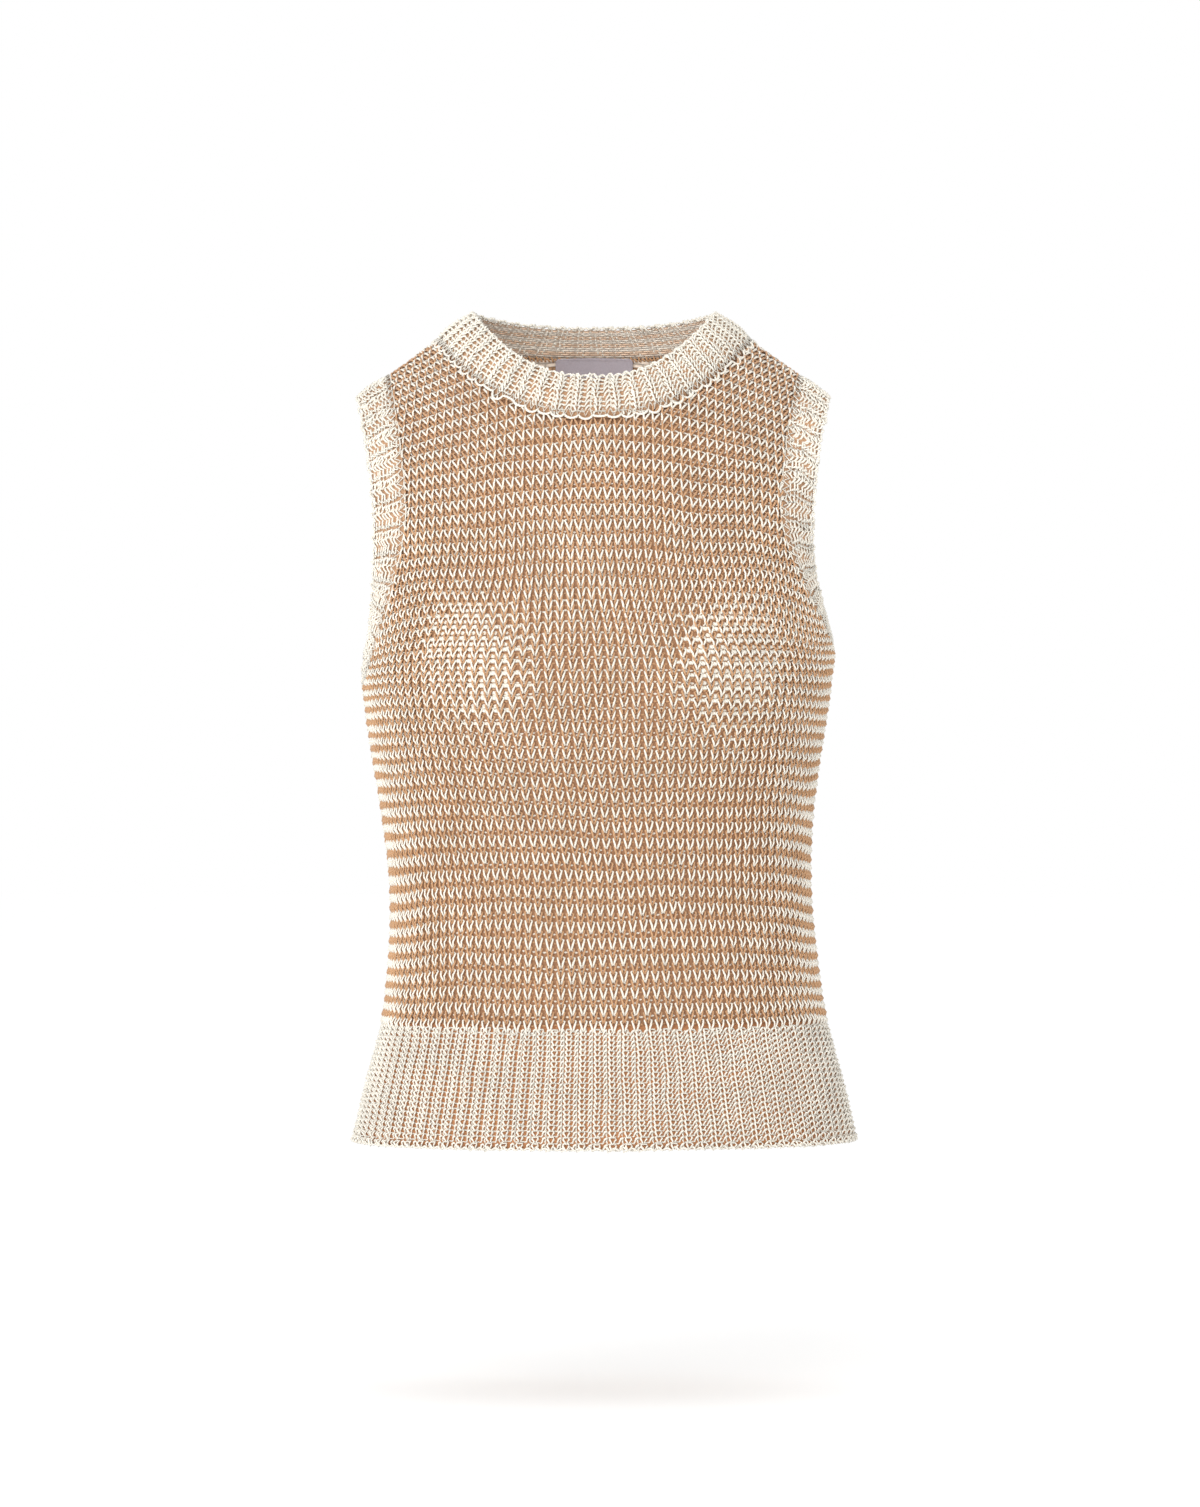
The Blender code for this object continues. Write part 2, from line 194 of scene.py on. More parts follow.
def on_form(share, level, side):
    """Points at share -1 to 1 from side line to side line, and level 0 to 1 to the fullest ring
    and 1 to 2 over the arch. The depth is (1 - |x / half width|^n)^(1/n) of the ring's, times
    (1 - climb^2)^power, and two low mounds, each a bell across and up, stand on the front."""
    share, level = np.broadcast_arrays(share, level)
    x, z = before_pose(share, level)
    at = ring_height(level)
    n = ring("roundness", at)
    arch = np.clip(1 - climb_of(level) ** 2, 0, 1) ** ARCH_POWER[side]
    girth = np.clip(1 - np.abs(np.sin(np.clip(share, -1, 1) * np.pi / 2)) ** n, 0, 1) ** (1 / n)
    depth = ring(side, at) * girth * arch
    if side == "front":
        mounds = bell(np.abs(x), BUST["out"], BUST["spread"]) * bell(z, BUST["height"], BUST["tall"])
        depth = depth + BUST["rise"] * mounds
    return posed(x, RIDGE_Y * (1 - arch) + FACING[side] * depth, z)


def slope_across(share, level, side):
    """The small step that the form takes from just before each share to just after it."""
    before, after = np.clip(share - STEP, -1, 1), np.clip(share + STEP, -1, 1)
    return on_form(after, level, side) - on_form(before, level, side)


def out_of_form(share, level, side):
    """The outward normal: the cross product of the form's slopes along share and level."""
    low, high = np.clip(level - STEP, 0, 2), np.clip(level + STEP, 0, 2)
    tall = on_form(share, high, side) - on_form(share, low, side)
    return unit(np.cross(slope_across(share, level, side), tall)) * -FACING[side]


def skin(share, level, side):
    """Points on the form and the outward directions there."""
    return on_form(share, level, side), out_of_form(share, level, side)


for side in ("front", "back"):
    low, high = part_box(side + "_panel")
    shares, levels = np.meshgrid(np.linspace(-1, 1, 81), np.linspace(HEM_LEVEL, 1, 41))
    reach = (FACING[side] * on_form(shares, levels, side)[..., 1]).max()
    wall = max(abs(low[1]), abs(high[1]))
    print(side, "depth of form", round(float(reach), 4), "and of wall", round(float(wall), 4))

# %% [markdown]
# ## Where each row and each column of stitches lies
#
# Knitters call an upright column of stitches a wale and a level row a course. On the real top the
# cloth is one size of stitch that the body stretches: over the bust a course is lower and a wale
# wider. Here a course is found by measuring up every upright line of the form, and a wale by
# measuring out from the centre along every course, so rows arch and columns splay by themselves.

# %% The gauge
BODY_WALES = 29  # from the centre front to a side line
SPARE_WALES = 3  # more of them beside the underarms, where the stitches are narrower
CHEST_PITCH = 0.00565  # the width of every wale at and above the chest
RELAX = {"from": 0.270, "over": 0.090}  # the stretch of height in which they come to that width
COURSE_HEIGHTS = np.array((  # height above the hem edge, course height
    (0.073, 0.00482), (0.175, 0.00503), (0.200, 0.00446), (0.235, 0.00411), (0.265, 0.00374),
    (0.298, 0.00341), (0.330, 0.00370), (0.360, 0.00450), (0.390, 0.00505), (0.440, 0.00535),
))
ARM_PULL = {"less": 0.13, "height": 0.375, "tall": 0.040}


def course_height(height, out_share):
    """Read off the table, and lower beside the armholes: by a share of it that is a bell of the
    height, and that grows from 0.16 to 0.61 of the way out."""
    out = np.clip(np.abs(out_share) * 2.2 - 0.35, 0, 1)
    less = ARM_PULL["less"] * bell(height, ARM_PULL["height"], ARM_PULL["tall"])
    return np.interp(height, *COURSE_HEIGHTS.T) * (1 - less * out)


print("courses in 100 mm at waist and bust:", 0.1 / course_height(0.15, 0), 0.1 / course_height(0.30, 0))


# %% The lattice of a piece of cloth
FIRST_LEVEL = (HEM_DEPTH - 0.0033) / FULL_HEIGHT  # the first row is drawn down over the rib
FAN = {"courses": 6.0, "x": 0.055, "wide": 0.0675, "from": 0.385}
SIDE_DROP = np.array((  # height above the hem edge, extra courses at the side lines
    (0.073, 0.00), (0.100, 0.90), (0.130, 1.35), (0.175, 0.80), (0.220, 0.45), (0.265, 0.60),
    (0.290, 0.00),
))
ARM_DROP = np.array((  # the same beside the armholes, for an underarm at 0.270
    (0.262, 0.0), (0.274, 0.8), (0.282, 1.8), (0.300, 4.2), (0.317, 3.7), (0.333, 3.1),
    (0.350, 2.6), (0.400, 2.0),
))
ARM_DROP_X = {"from": 0.068, "wide": 0.063}
LEFT_DROP = 0.3  # courses by which the rows run lower on the wearer's left


def side_drop(share, x, z):
    """Extra courses by which the rows bend down: at the side lines, from half way out to them, and
    beside the armholes with the third power of the way out."""
    out = np.clip((np.abs(share) - 0.5) / 0.40, 0, 1)
    bend = np.interp(z, *SIDE_DROP.T) * out * out * (3 - 2 * out)
    out = np.clip((np.abs(x) - ARM_DROP_X["from"]) / ARM_DROP_X["wide"], 0, 1)
    height = z - np.where(x > 0, UNDERARM_HEIGHT["left"] - UNDERARM_HEIGHT["right"], 0)
    bend = bend + np.interp(height, *ARM_DROP.T) * out**3
    return bend + LEFT_DROP * np.clip(share * 1.6 + 0.2, 0, 1) * np.clip((z - HEM_DEPTH) / 0.09, 0, 1)


def shoulder_fan(x, z):
    """Extra courses beside the armhole: the rows fan out until they run along the shoulder."""
    out = np.clip((np.abs(x) - FAN["x"]) / FAN["wide"], 0, 1.3)
    return FAN["courses"] * out * np.clip((z - FAN["from"]) / (ridge_height(x) - FAN["from"]), 0, 1) ** 2


def course_lines(side, first_level, last_level, height_of, count=None):
    """The level of every course at 161 uprights: the arc length up each upright, in courses of the
    height that holds there, is turned round to give level as a function of course number."""
    share = np.linspace(-1, 1, 161)
    level = np.linspace(first_level, last_level, 321)
    grid = on_form(share[None, :], level[:, None], side)
    step = np.linalg.norm(np.diff(grid, axis=0), axis=-1)
    middle = (grid[1:, :, 2] + grid[:-1, :, 2]) / 2 + HOLD_HEIGHT
    number = np.cumsum(np.insert(step / height_of(middle, share[None, :]), 0, 0, axis=0), axis=0)
    if count:
        number = number * count / number[-1]
    else:
        x, z = before_pose(share[None, :], level[:, None])
        number = number + shoulder_fan(x, z) + side_drop(share[None, :], x, z)
    courses = np.arange(0.5, number[-1].max())
    lines = [np.interp(courses, number[:, k], level, right=last_level + 1) for k in range(len(share))]
    return share, np.stack(lines, axis=1)


def panel_lines(side):
    """The courses of a panel, from the hem's seam over the arch to the shoulder ridge."""
    return course_lines(side, FIRST_LEVEL, 2.0, course_height)


def lattice(side, lines, wales_to_side, wale_at, relax=True):
    """share and level where each course meets each place wale_at: the arc length from the centre
    along the course, divided by the wale's width there. Cloth that may relax comes to the chest's
    width of wale on its way up."""
    share, lines = lines
    points = on_form(share[None, :], np.clip(lines, 0, 2), side)
    along = run_of(points, axis=1)
    centre = len(share) // 2
    along = along - along[:, centre:centre + 1]
    height = points[:, centre, 2] + HOLD_HEIGHT
    ease = ramp(height - RELAX["from"], 0, RELAX["over"])[:, None] * relax
    pitch = np.abs(along[:, [0, -1]]) / wales_to_side
    pitch = pitch * (1 - ease) + CHEST_PITCH * ease
    wale = along / np.where(along < 0, pitch[:, :1], pitch[:, 1:])
    where = np.stack([np.interp(wale_at, wale[k], share) for k in range(len(lines))])
    level = np.stack([np.interp(where[k], share, lines[k]) for k in range(len(lines))])
    beyond = (wale_at < wale[:, :1]) | (wale_at > wale[:, -1:])
    width = np.where(wale_at < 0, pitch[:, :1], pitch[:, 1:])
    return where, level, beyond, width


front_levels = panel_lines("front")[1]
centre_count = int((front_levels[:, front_levels.shape[1] // 2] <= 2).sum())
print("courses up the centre front:", centre_count, "and in all", len(front_levels))


# %% [markdown]
# ## Yarn
#
# A strand is a thin tube along a path. The top holds about fifteen thousand stitches, so a strand
# has only four sides. They are shaded smooth, with one edge of the four always turned outwards, and
# that reads as round. All strands of a piece are made at once: their points lie in one long array,
# and a second array says which strand each point belongs to.

# %% Tubes along many paths at once
SIDES = 4


def smooth_mesh(name, points, faces, *materials):
    """A smooth mesh from an array of points and one of quads."""
    mesh = bpy.data.meshes.new(name)
    mesh.from_pydata(points.reshape(-1, 3).tolist(), [], faces.tolist())
    mesh.validate()
    mesh.shade_smooth()
    for material in materials:
        mesh.materials.append(material)
    return mesh


def lay_map(mesh, name, u, v):
    """A UV map with a value of u and v for every corner of every face."""
    layer = mesh.uv_layers.new(name=name)
    layer.data.foreach_set("uv", np.stack([u, v], -1).ravel().astype(np.float32))
    return layer


def put(name, data):
    """A new object of the scene."""
    made = bpy.data.objects.new(name, data)
    bpy.context.scene.collection.objects.link(made)
    return made


def hand_in(name, mesh, stands_for):
    """The mesh as a piece of the top: it rides the root and stands for the walls named."""
    piece = put(name, mesh)
    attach(piece, "root")
    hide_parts(*stands_for)
    print(name, "has", 2 * len(mesh.polygons), "triangles")


def yarn_mesh(name, material, points, out, strand, radius):
    """A ring of SIDES points round each path point, at point + radius * (cos a * side + sin a * top).
    top is the cloth's outward direction squared up to the path, and side is across both. Each ring
    is joined to the next of its strand by quads, and a strand's two ends are closed. Map Yarn: u is
    millimetres along the yarn and v turns round it. Map OFBake: each strand is a band of the
    square, u its share of the longest strand and v its turn within the band."""
    joined = strand[1:] == strand[:-1]
    steps = np.diff(points, axis=0)[joined]
    forward = np.zeros_like(points)
    forward[:-1][joined] = steps
    forward[1:][joined] += steps
    forward = unit(forward)
    side = unit(np.cross(forward, out))
    top = np.cross(side, forward)
    angle = np.arange(SIDES) * 2 * np.pi / SIDES
    rings = points[:, None] + radius[:, None, None] * (
        np.cos(angle)[None, :, None] * side[:, None] + np.sin(angle)[None, :, None] * top[:, None])
    k = np.arange(SIDES)
    after = (k + 1) % SIDES
    start = np.flatnonzero(joined)[:, None] * SIDES
    quads = np.stack([start + k, start + SIDES + k, start + SIDES + after, start + after], -1).reshape(-1, 4)
    first = np.flatnonzero(np.concatenate([[True], ~joined]))
    last = np.flatnonzero(np.concatenate([~joined, [True]]))
    faces = np.concatenate([quads, first[:, None] * SIDES + k, last[:, None] * SIDES + k[::-1]])
    mesh = smooth_mesh(name, rings, faces, material)
    place = faces // SIDES
    turn = np.zeros(faces.shape)
    turn[:len(quads)] = (np.array((0, 0, 1, 1)) + (quads % SIDES)[:, :1]) / SIDES
    counts = last - first + 1
    row = np.repeat(np.arange(len(first)), counts)
    within = (np.arange(len(strand)) - first[row]) / counts.max()
    yarn = lay_map(mesh, "Yarn", run_of(points)[place] * 1000, turn)
    lay_map(mesh, "OFBake", within[place], (row[place] + 0.1 + 0.8 * turn) / len(first))
    mesh.uv_layers.active = yarn
    yarn.active_render = True
    return mesh


def yarn_piece(name, paths, radius, colour, *stands_for):
    """A piece from a list of (points, outward directions, strand numbers), with a fourth part where
    a path has a radius of its own."""
    parts, base = [], 0
    for points, out, strand, *own in paths:
        parts.append((points, out, strand + base, np.broadcast_to(own[0] if own else radius, len(points))))
        base += strand.max() + 1
    print(name, "is made of", base, "strands")
    mesh = yarn_mesh(name, YARN[colour], *map(np.concatenate, zip(*parts)))
    hand_in(name, mesh, stands_for)


def strands_of(points, out, keep=None):
    """A grid's kept places as a path, with a number for each unbroken run of them along a row."""
    keep = np.ones(points.shape[:2], bool) if keep is None else keep
    opens = keep & ~np.concatenate([np.zeros((len(keep), 1), bool), keep[:, :-1]], axis=1)
    number = np.cumsum(opens.ravel()).reshape(keep.shape) - 1
    return points[keep], out[keep], number[keep]


# %% [markdown]
# ## The finish of the yarn
#
# Both yarns are soft cotton, plied from thin strands. Light catches the plies as slanting ribs, and
# a little fuzz makes the edges glow. The ribs are a wave on the map Yarn, which runs along every
# strand, so they turn with each loop. The wave tilts the normals, and it also darkens the base
# colour in the grooves between the plies, as painted shade. Slow changes of tone come from noise in
# object space. Values that are the same all over go straight onto the shader's sockets.

# %% Helpers for materials, and the two yarns
def feed(made, values):
    """A node's inputs, by name or by number, linked to sockets or set to plain values."""
    for key, value in values.items():
        if hasattr(value, "links"):
            made.id_data.links.new(value, made.inputs[key])
        else:
            made.inputs[key].default_value = value


def new_material(name, values):
    """A material, and its shader with these inputs."""
    material = bpy.data.materials.new(name)
    material.use_nodes = True
    shader = material.node_tree.nodes["Principled BSDF"]
    feed(shader, values)
    return material, shader


def node(beside, kind, values, **settings):
    """A new node, in the tree of another node or socket, with these inputs and settings."""
    made = beside.id_data.nodes.new("ShaderNode" + kind)
    for name, value in settings.items():
        setattr(made, name, value)
    feed(made, values)
    return made


def maths(operation, *values):
    """What a Math node makes of a socket and other sockets or plain numbers."""
    first = next(value for value in values if hasattr(value, "links"))
    return node(first, "Math", dict(enumerate(values)), operation=operation).outputs[0]


def between(value, *limits):
    """A value taken from one range to another and kept there."""
    return node(value, "MapRange", dict(enumerate((value, *limits)))).outputs[0]


def map_axes(shader, name):
    """The u and v of a map."""
    uv = node(shader, "UVMap", {}, uv_map=name).outputs["UV"]
    parts = node(shader, "SeparateXYZ", {0: uv})
    return parts.outputs["X"], parts.outputs["Y"]


def noise(shader, scale, detail=4.0):
    """Noise in object space, 0 to 1."""
    place = node(shader, "TexCoord", {}).outputs["Object"]
    return node(shader, "TexNoise", {"Vector": place, "Scale": scale, "Detail": detail}).outputs["Fac"]


def tint(shader, first, second, mix, value=None):
    """Base colour: first to second by mix, its brightness times value if there is one."""
    colours = {"Factor": mix, "A": (*first, 1), "B": (*second, 1)}
    colour = node(shader, "Mix", colours, data_type="RGBA").outputs["Result"]
    if value is not None:
        colour = node(shader, "HueSaturation", {"Color": colour, "Value": value}).outputs["Color"]
    feed(shader, {"Base Color": colour})


def raise_by(shader, height, distance, strength):
    """Bump: the shader's normal, tilted as a relief of this height would tilt it."""
    bump = node(shader, "Bump", {"Height": height, "Distance": distance, "Strength": strength})
    feed(shader, {"Normal": bump.outputs["Normal"]})


def yarn_material(name, light, dark, sheen):
    """Base colour: dark in the grooves between plies, as painted shade, and light on them, times 0.92
    to 1.04 by slow noise. Bump: the plies, sin(2 pi (0.55 u + 2 v)) brought to 0 to 1, and fine fuzz
    noise."""
    material, shader = new_material(name, {
        "Roughness": 0.82, "Specular IOR Level": 0.25, "Sheen Weight": sheen, "Sheen Roughness": 0.45})
    u, v = map_axes(shader, "Yarn")
    twist = maths("MULTIPLY_ADD", u, 0.55, maths("MULTIPLY", v, 2.0))
    wave = maths("SINE", maths("MULTIPLY", twist, 2 * np.pi))
    plies = between(wave, -1, 1, 0, 1)
    shade = between(noise(shader, 45.0), 0.3, 0.7, 0.92, 1.04)
    tint(shader, dark, light, plies, shade)
    relief = maths("MULTIPLY_ADD", noise(shader, 2600.0, 3.0), 0.35, plies)
    raise_by(shader, relief, 0.0003, 0.55)
    return material


# The second colour of each yarn is painted shade, for the grooves between its plies.
YARN = {
    "cream": yarn_material("cream_cotton", (0.91, 0.905, 0.845), (0.76, 0.68, 0.56), 0.25),
    "tan": yarn_material("tan_cotton", (0.61, 0.365, 0.205), (0.48, 0.265, 0.13), 0.2),
}
print("finishes:", *[material.name for material in YARN.values()])

# %% [markdown]
# ## One row of loops
#
# A plain knitted row is a single strand that waves up and down. Its loops lean outwards like a
# horseshoe, so that each holds the foot of the loop above, and it weaves in and out: the two legs of
# a stitch lie in front, and the head over it and the link to its neighbour lie behind. With t
# turning once a stitch and t = 0 at the head, the strand is a * sin 2t sideways, h * cos t upwards
# and -d * cos 2t outwards. The legs of one stitch make the V that is seen on the right side.
#
# A little smooth randomness, row by row and over patches, keeps the rows from looking machined.

# %% Rows of face stitches on a lattice
PLACES = {  # where a stitch has its path points, from one link to the next; the back needs fewer
    "front": np.array((0, 0.061, 0.133, 0.25, 0.375, 0.5, 0.625, 0.75, 0.867, 0.939)),
    "back": np.arange(5) / 5,
}
YARN_RADIUS = 0.00063
LOOP = {"rise": 0.0042, "weave": 0.0011, "dive": 0.0020, "back_again": 0.00215}
FULL_COURSE = 0.00495  # lower courses have loops less tall by 0.40 of the difference
LEAST_COURSE = 0.0022
LEAN = {  # parts of sin 2t and of sin t
    "waist": (0.252, -0.060),
    "middle": (0.228, -0.045),
    "outer": (0.300, -0.012),
    "bust": (0.255, -0.105),
}
LEAN_FROM_TO = {  # heights, and a distance from the middle, over which one lean becomes another
    "middle": (0.200, 0.270),
    "yoke": (0.330, 0.385),
    "chest": (0.215, 0.275),
    "outwards": (0.040, 0.085),
}
SKEW = {"most": 0.24, "at": 0.055, "height": 0.290, "tall": 0.055}
FULLEST = {"x": 0.078, "wide": 0.037, "height": 0.283, "tall": 0.047}
ACROSS, UP, OUT = range(3)
PANEL_WANDER = (  # which way, metres, and cells up and across
    (UP, 0.00020, 0, 26), (UP, 0.00075, 14, 12),
    (ACROSS, 0.00018, 0, 50), (ACROSS, 0.00050, 24, 16), (OUT, 0.00016, 0, 30),
)
UNEVEN = {"panel": 0.05, "hem": 0.07, "band": 0.08}  # how much single stitches differ in height
random = np.random.default_rng(7)


def spread(knots, count):
    """Values between knots along the last axis, on cosine steps."""
    at = np.linspace(0, knots.shape[-1] - 2, count)
    low = at.astype(int)
    ease = (1 - np.cos(np.pi * (at - low))) / 2
    return knots[..., low] * (1 - ease) + knots[..., low + 1] * ease


def wander(shape, row_cells, column_cells):
    """A smooth random field over a grid, with a fresh number in each of so many cells. With no
    row_cells each row wanders on its own."""
    if not row_cells:
        return spread(random.standard_normal((shape[0], column_cells + 2)), shape[1])
    across = spread(random.standard_normal((row_cells + 2, column_cells + 2)), shape[1])
    return spread(across.T, shape[0]).T


def ease_of(amount, rows, wale_at, reach):
    """A factor near 1 for each stitch of each row, which makes it a little taller or lower."""
    stitch = np.minimum(np.floor(wale_at + reach).astype(int), 2 * reach - 1)
    return 1 + amount * random.standard_normal((rows, 2 * reach))[:, stitch]


def lay(base, directions, offsets, fields, scale=1.0):
    """base + each direction times its offset, after the random fields are added to the offsets."""
    offsets = list(offsets)
    for way, size, row_cells, column_cells in fields:
        offsets[way] = offsets[way] + size * scale * wander(base.shape, row_cells, column_cells)
    for direction, offset in zip(directions, offsets):
        base = base + direction * offset[..., None]
    return base


def cloth_directions(share, level, side):
    """Unit vectors along the course, up the wale and out of the cloth, by small differences."""
    out = out_of_form(share, level, side)
    across = slope_across(share, level, side)
    across = unit(across - out * np.sum(across * out, axis=-1, keepdims=True))
    up = np.cross(out, across) * -FACING[side]
    return across, up, out


# %% [markdown]
# ## Where the cloth ends
#
# Hand-knitters shape an armhole by taking stitches off the row's end, and a neck by leaving stitches
# out of its middle. The rows below don't change for it. So the lattice covers the whole form, and
# two outlines say which of its stitches exist. The strands are cut where they cross an outline, and
# the bands hide the cut ends, as the sewing does on the real top.

# %% Outlines of the armholes and the neck
NECK_POWER = 2.4
NECK_DROP = {"front": 0.049, "back": 0.007}
SIDE_SIGN = {"right": -1.0, "left": 1.0}
ARM_IN_X = 0.1107
ARM_IN_HEIGHT = 0.375
TIP_X = 0.1225


def place_on_form(x, height):
    """The share and level of a point given by its place in the front view before the pose."""
    climb = np.clip((height - FULL_HEIGHT) / (ridge_height(x) - FULL_HEIGHT), 0, 1)
    level = np.where(height < FULL_HEIGHT, height / FULL_HEIGHT, 1 + np.arcsin(climb) * 2 / np.pi)
    share = np.clip(x / ring("half_width", ring_height(level)), -1, 1)
    return np.arcsin(share) * 2 / np.pi, level


def armhole_outline(hand, share):
    """x and height of the armhole seam, share 0 at the underarm to 1 at the shoulder tip. Going up
    it runs in as (1 - rise^1.2)^1.7 to its narrowest place and out again as rise^1.5."""
    low = UNDERARM_HEIGHT[hand]
    top = ridge_height(TIP_X)
    height = low + (top - low) * (1 - np.cos(np.pi * share)) / 2
    down = np.clip((height - low) / (ARM_IN_HEIGHT - low), 0, 1)
    up = np.clip((height - ARM_IN_HEIGHT) / (top - ARM_IN_HEIGHT), 0, 1)
    x = ARM_IN_X + (ring("half_width", low) - ARM_IN_X) * (1 - down**1.2) ** 1.7
    return x + (TIP_X - ARM_IN_X) * up**1.5, height


def neck_outline(angle, side):
    """x and height of the neck seam, angle 0 at the centre to 90 deg at the shoulder corner."""
    drop = NECK_DROP[side] * (1 - np.sin(angle) ** NECK_POWER)
    return NECK_CORNER["x"] * np.sin(angle), NECK_CORNER["height"] - drop


def inside_panel(share, level, side):
    """True where a place is below the neck seam and the ridge and inside both armhole seams."""
    x, z = before_pose(share, level)
    keep = level <= 2.0
    for hand, sign in SIDE_SIGN.items():
        seam_x, seam_z = armhole_outline(hand, np.linspace(0, 1, 81))
        reach = np.interp(z, seam_z, seam_x, left=1.0, right=1.0)
        keep &= ~((np.sign(x) == sign) & (np.abs(x) > reach))
    seam_x, seam_z = neck_outline(np.linspace(0, np.pi / 2, 81), side)
    return keep & (z <= np.interp(np.abs(x), seam_x, seam_z, right=1.0))


for hand in SIDE_SIGN:
    print(hand, "armhole, x and height at both ends:", *np.round(armhole_outline(hand, np.arange(2)), 4).T)


# %% [markdown]
# ## Knitting the panels
#
# Every stitch of a panel is the same wave, but a body pulls it about. At the waist the Vs stand
# open. Beside the arms they close to a zigzag, and over the bust the loops are drawn sideways until
# their heads lie flat and the second yarn shows between them. So the wave's lean is a table, and
# bells and ramps of the place choose from it.

# %% Knit the two panels
def lean_of(x, z, full):
    """Which V a loop makes: open at the waist and down the middle of the chest, a closed zigzag
    beside it and above it, and wide flat heads over the bust."""
    beside = ramp(z, *LEAN_FROM_TO["chest"]) * ramp(np.abs(x), *LEAN_FROM_TO["outwards"])
    outer = np.clip(ramp(z, *LEAN_FROM_TO["yoke"]) + beside, 0, 1)
    shares = {"middle": ramp(z, *LEAN_FROM_TO["middle"]), "outer": outer, "bust": full}
    twice, once = LEAN["waist"]
    for name, share in shares.items():
        twice = twice + (LEAN[name][0] - twice) * share
        once = once + (LEAN[name][1] - once) * share
    return twice, once


def loop_offsets(place, pitch, course, ease, lean, skew):
    """One loop: sideways pitch * (a * sin 2t + b * sin t), upwards rise * cos t, both times
    (1 + skew * sin t), and outwards -weave * cos 2t. Past the foot the link dives by a power of
    k = (1 - cos t) / 2, and its middle comes forward again by a far higher power of k, so that only
    a dot of it shows."""
    t = 2 * np.pi * (place - 0.5)
    uneven = 1 + skew * np.sin(t)
    across = pitch * (lean[0] * np.sin(2 * t) + lean[1] * np.sin(t)) * uneven
    k = (1 - np.cos(t)) / 2
    tall = np.minimum(LOOP["rise"] - 0.40 * (FULL_COURSE - course), 1.02 * course)
    rise = tall * ease * np.cos(t) * uneven
    return across, rise, -LOOP["weave"] * np.cos(2 * t) - LOOP["dive"] * k**8 + LOOP["back_again"] * k**80


def bust_fullness(x, z):
    """1 where the cloth is stretched most, on either side of the bust, and less round it."""
    return bell(np.abs(x), FULLEST["x"], FULLEST["wide"]) * bell(z, FULLEST["height"], FULLEST["tall"])


def cloth_at(side, lines, wales_to_side, wale_at, relax=True):
    """What the stitches need at each place of a lattice: base points, the three directions, wale
    width, share, x and z before the pose, and whether the place belongs to the panel."""
    where, level, beyond, pitch = lattice(side, lines, wales_to_side, wale_at, relax)
    keep = inside_panel(where, level, side) & ~beyond
    level = np.clip(level, 0, 2)
    base, directions = on_form(where, level, side), cloth_directions(where, level, side)
    return base, directions, pitch, where, *before_pose(where, level), keep


def knit_panel(side):
    """The rows of a panel as two paths, the cream rows and the tan ones between them."""
    lines = panel_lines(side)
    reach = BODY_WALES + SPARE_WALES
    wale_at = np.append(np.arange(-reach, reach)[:, None] + PLACES[side], reach)
    base, directions, pitch, where, x, z, keep = cloth_at(side, lines, BODY_WALES, wale_at)
    ease = ease_of(UNEVEN["panel"], len(base), wale_at, reach)
    apart = np.linalg.norm(np.gradient(base, axis=0), axis=-1)
    course = np.clip(apart, LEAST_COURSE, course_height(base[..., 2] + HOLD_HEIGHT, where))
    front = 1.0 if side == "front" else 0.0
    skew = -front * SKEW["most"] * bell(z, SKEW["height"], SKEW["tall"]) * np.clip(x / SKEW["at"], -1, 1)
    lean = lean_of(x, z, front * np.clip(1.5 * bust_fullness(x, z), 0, 1))
    offsets = loop_offsets(wale_at % 1, pitch, course, ease, lean, skew)
    points = lay(base, directions, offsets, PANEL_WANDER)
    return [strands_of(points[first::2], directions[OUT][first::2], keep[first::2]) for first in (0, 1)]


BARS = (  # height, half width in wales, radius, depth and least fullness
    (0.0021, 0.205, 0.00130, -0.0009, 0.38),
    (0.0051, 0.160, 0.00130, -0.0015, 0.60),
)
BAR_SIZE = {"least": 0.45, "by_fullness": 0.75}
BAR_ENDS_SUNK = 0.0003
BAR_CHANCE = 0.08  # how much luck adds to the fullness where a bar is chosen


def plating_bars(height, half, radius, depth, least):
    """Short floats of the second yarn. Where the cloth is stretched most they show between the
    loops, as a block at the head of each link of the cream rows and a second one over it. Each is a
    strand of four points, and all get smaller as the fullness does."""
    share, lines = panel_lines("front")
    links = np.arange(1 - BODY_WALES, BODY_WALES)
    wale_at = (links[:, None] + half * np.array((-1, -0.75, 0.75, 1))).ravel()
    base, (_, up, out), _, _, x, z, keep = cloth_at("front", (share, lines[::2]), BODY_WALES, wale_at)
    full = bust_fullness(x, z)
    size = np.clip(BAR_SIZE["least"] + BAR_SIZE["by_fullness"] * full, 0, 1)
    sunk = np.tile((BAR_ENDS_SUNK, 0.0, 0.0, BAR_ENDS_SUNK), len(links)) + (1 - size) * radius
    points = base + up * height + out * (depth - sunk)[..., None]
    middle = full.reshape(-1, 4)[:, 0]
    middle = middle + BAR_CHANCE * random.standard_normal(len(middle))
    chosen = (middle > least) & keep.reshape(-1, 4).all(axis=1)
    points, out = (values.reshape(-1, 4, 3)[chosen].reshape(-1, 3) for values in (points, out))
    wide = (radius * size).reshape(-1, 4)[chosen].ravel()
    return points, out, np.repeat(np.arange(len(points) // 4), 4), wide


for side in ("front", "back"):
    for colour, rows in zip(YARN, knit_panel(side)):
        yarn_piece(side + "_" + colour + "_yarn", [rows], YARN_RADIUS, colour, side + "_panel")

bars = [plating_bars(*bar) for bar in BARS]
yarn_piece("front_bust_yarn", bars, YARN_RADIUS, "cream", "front_panel")
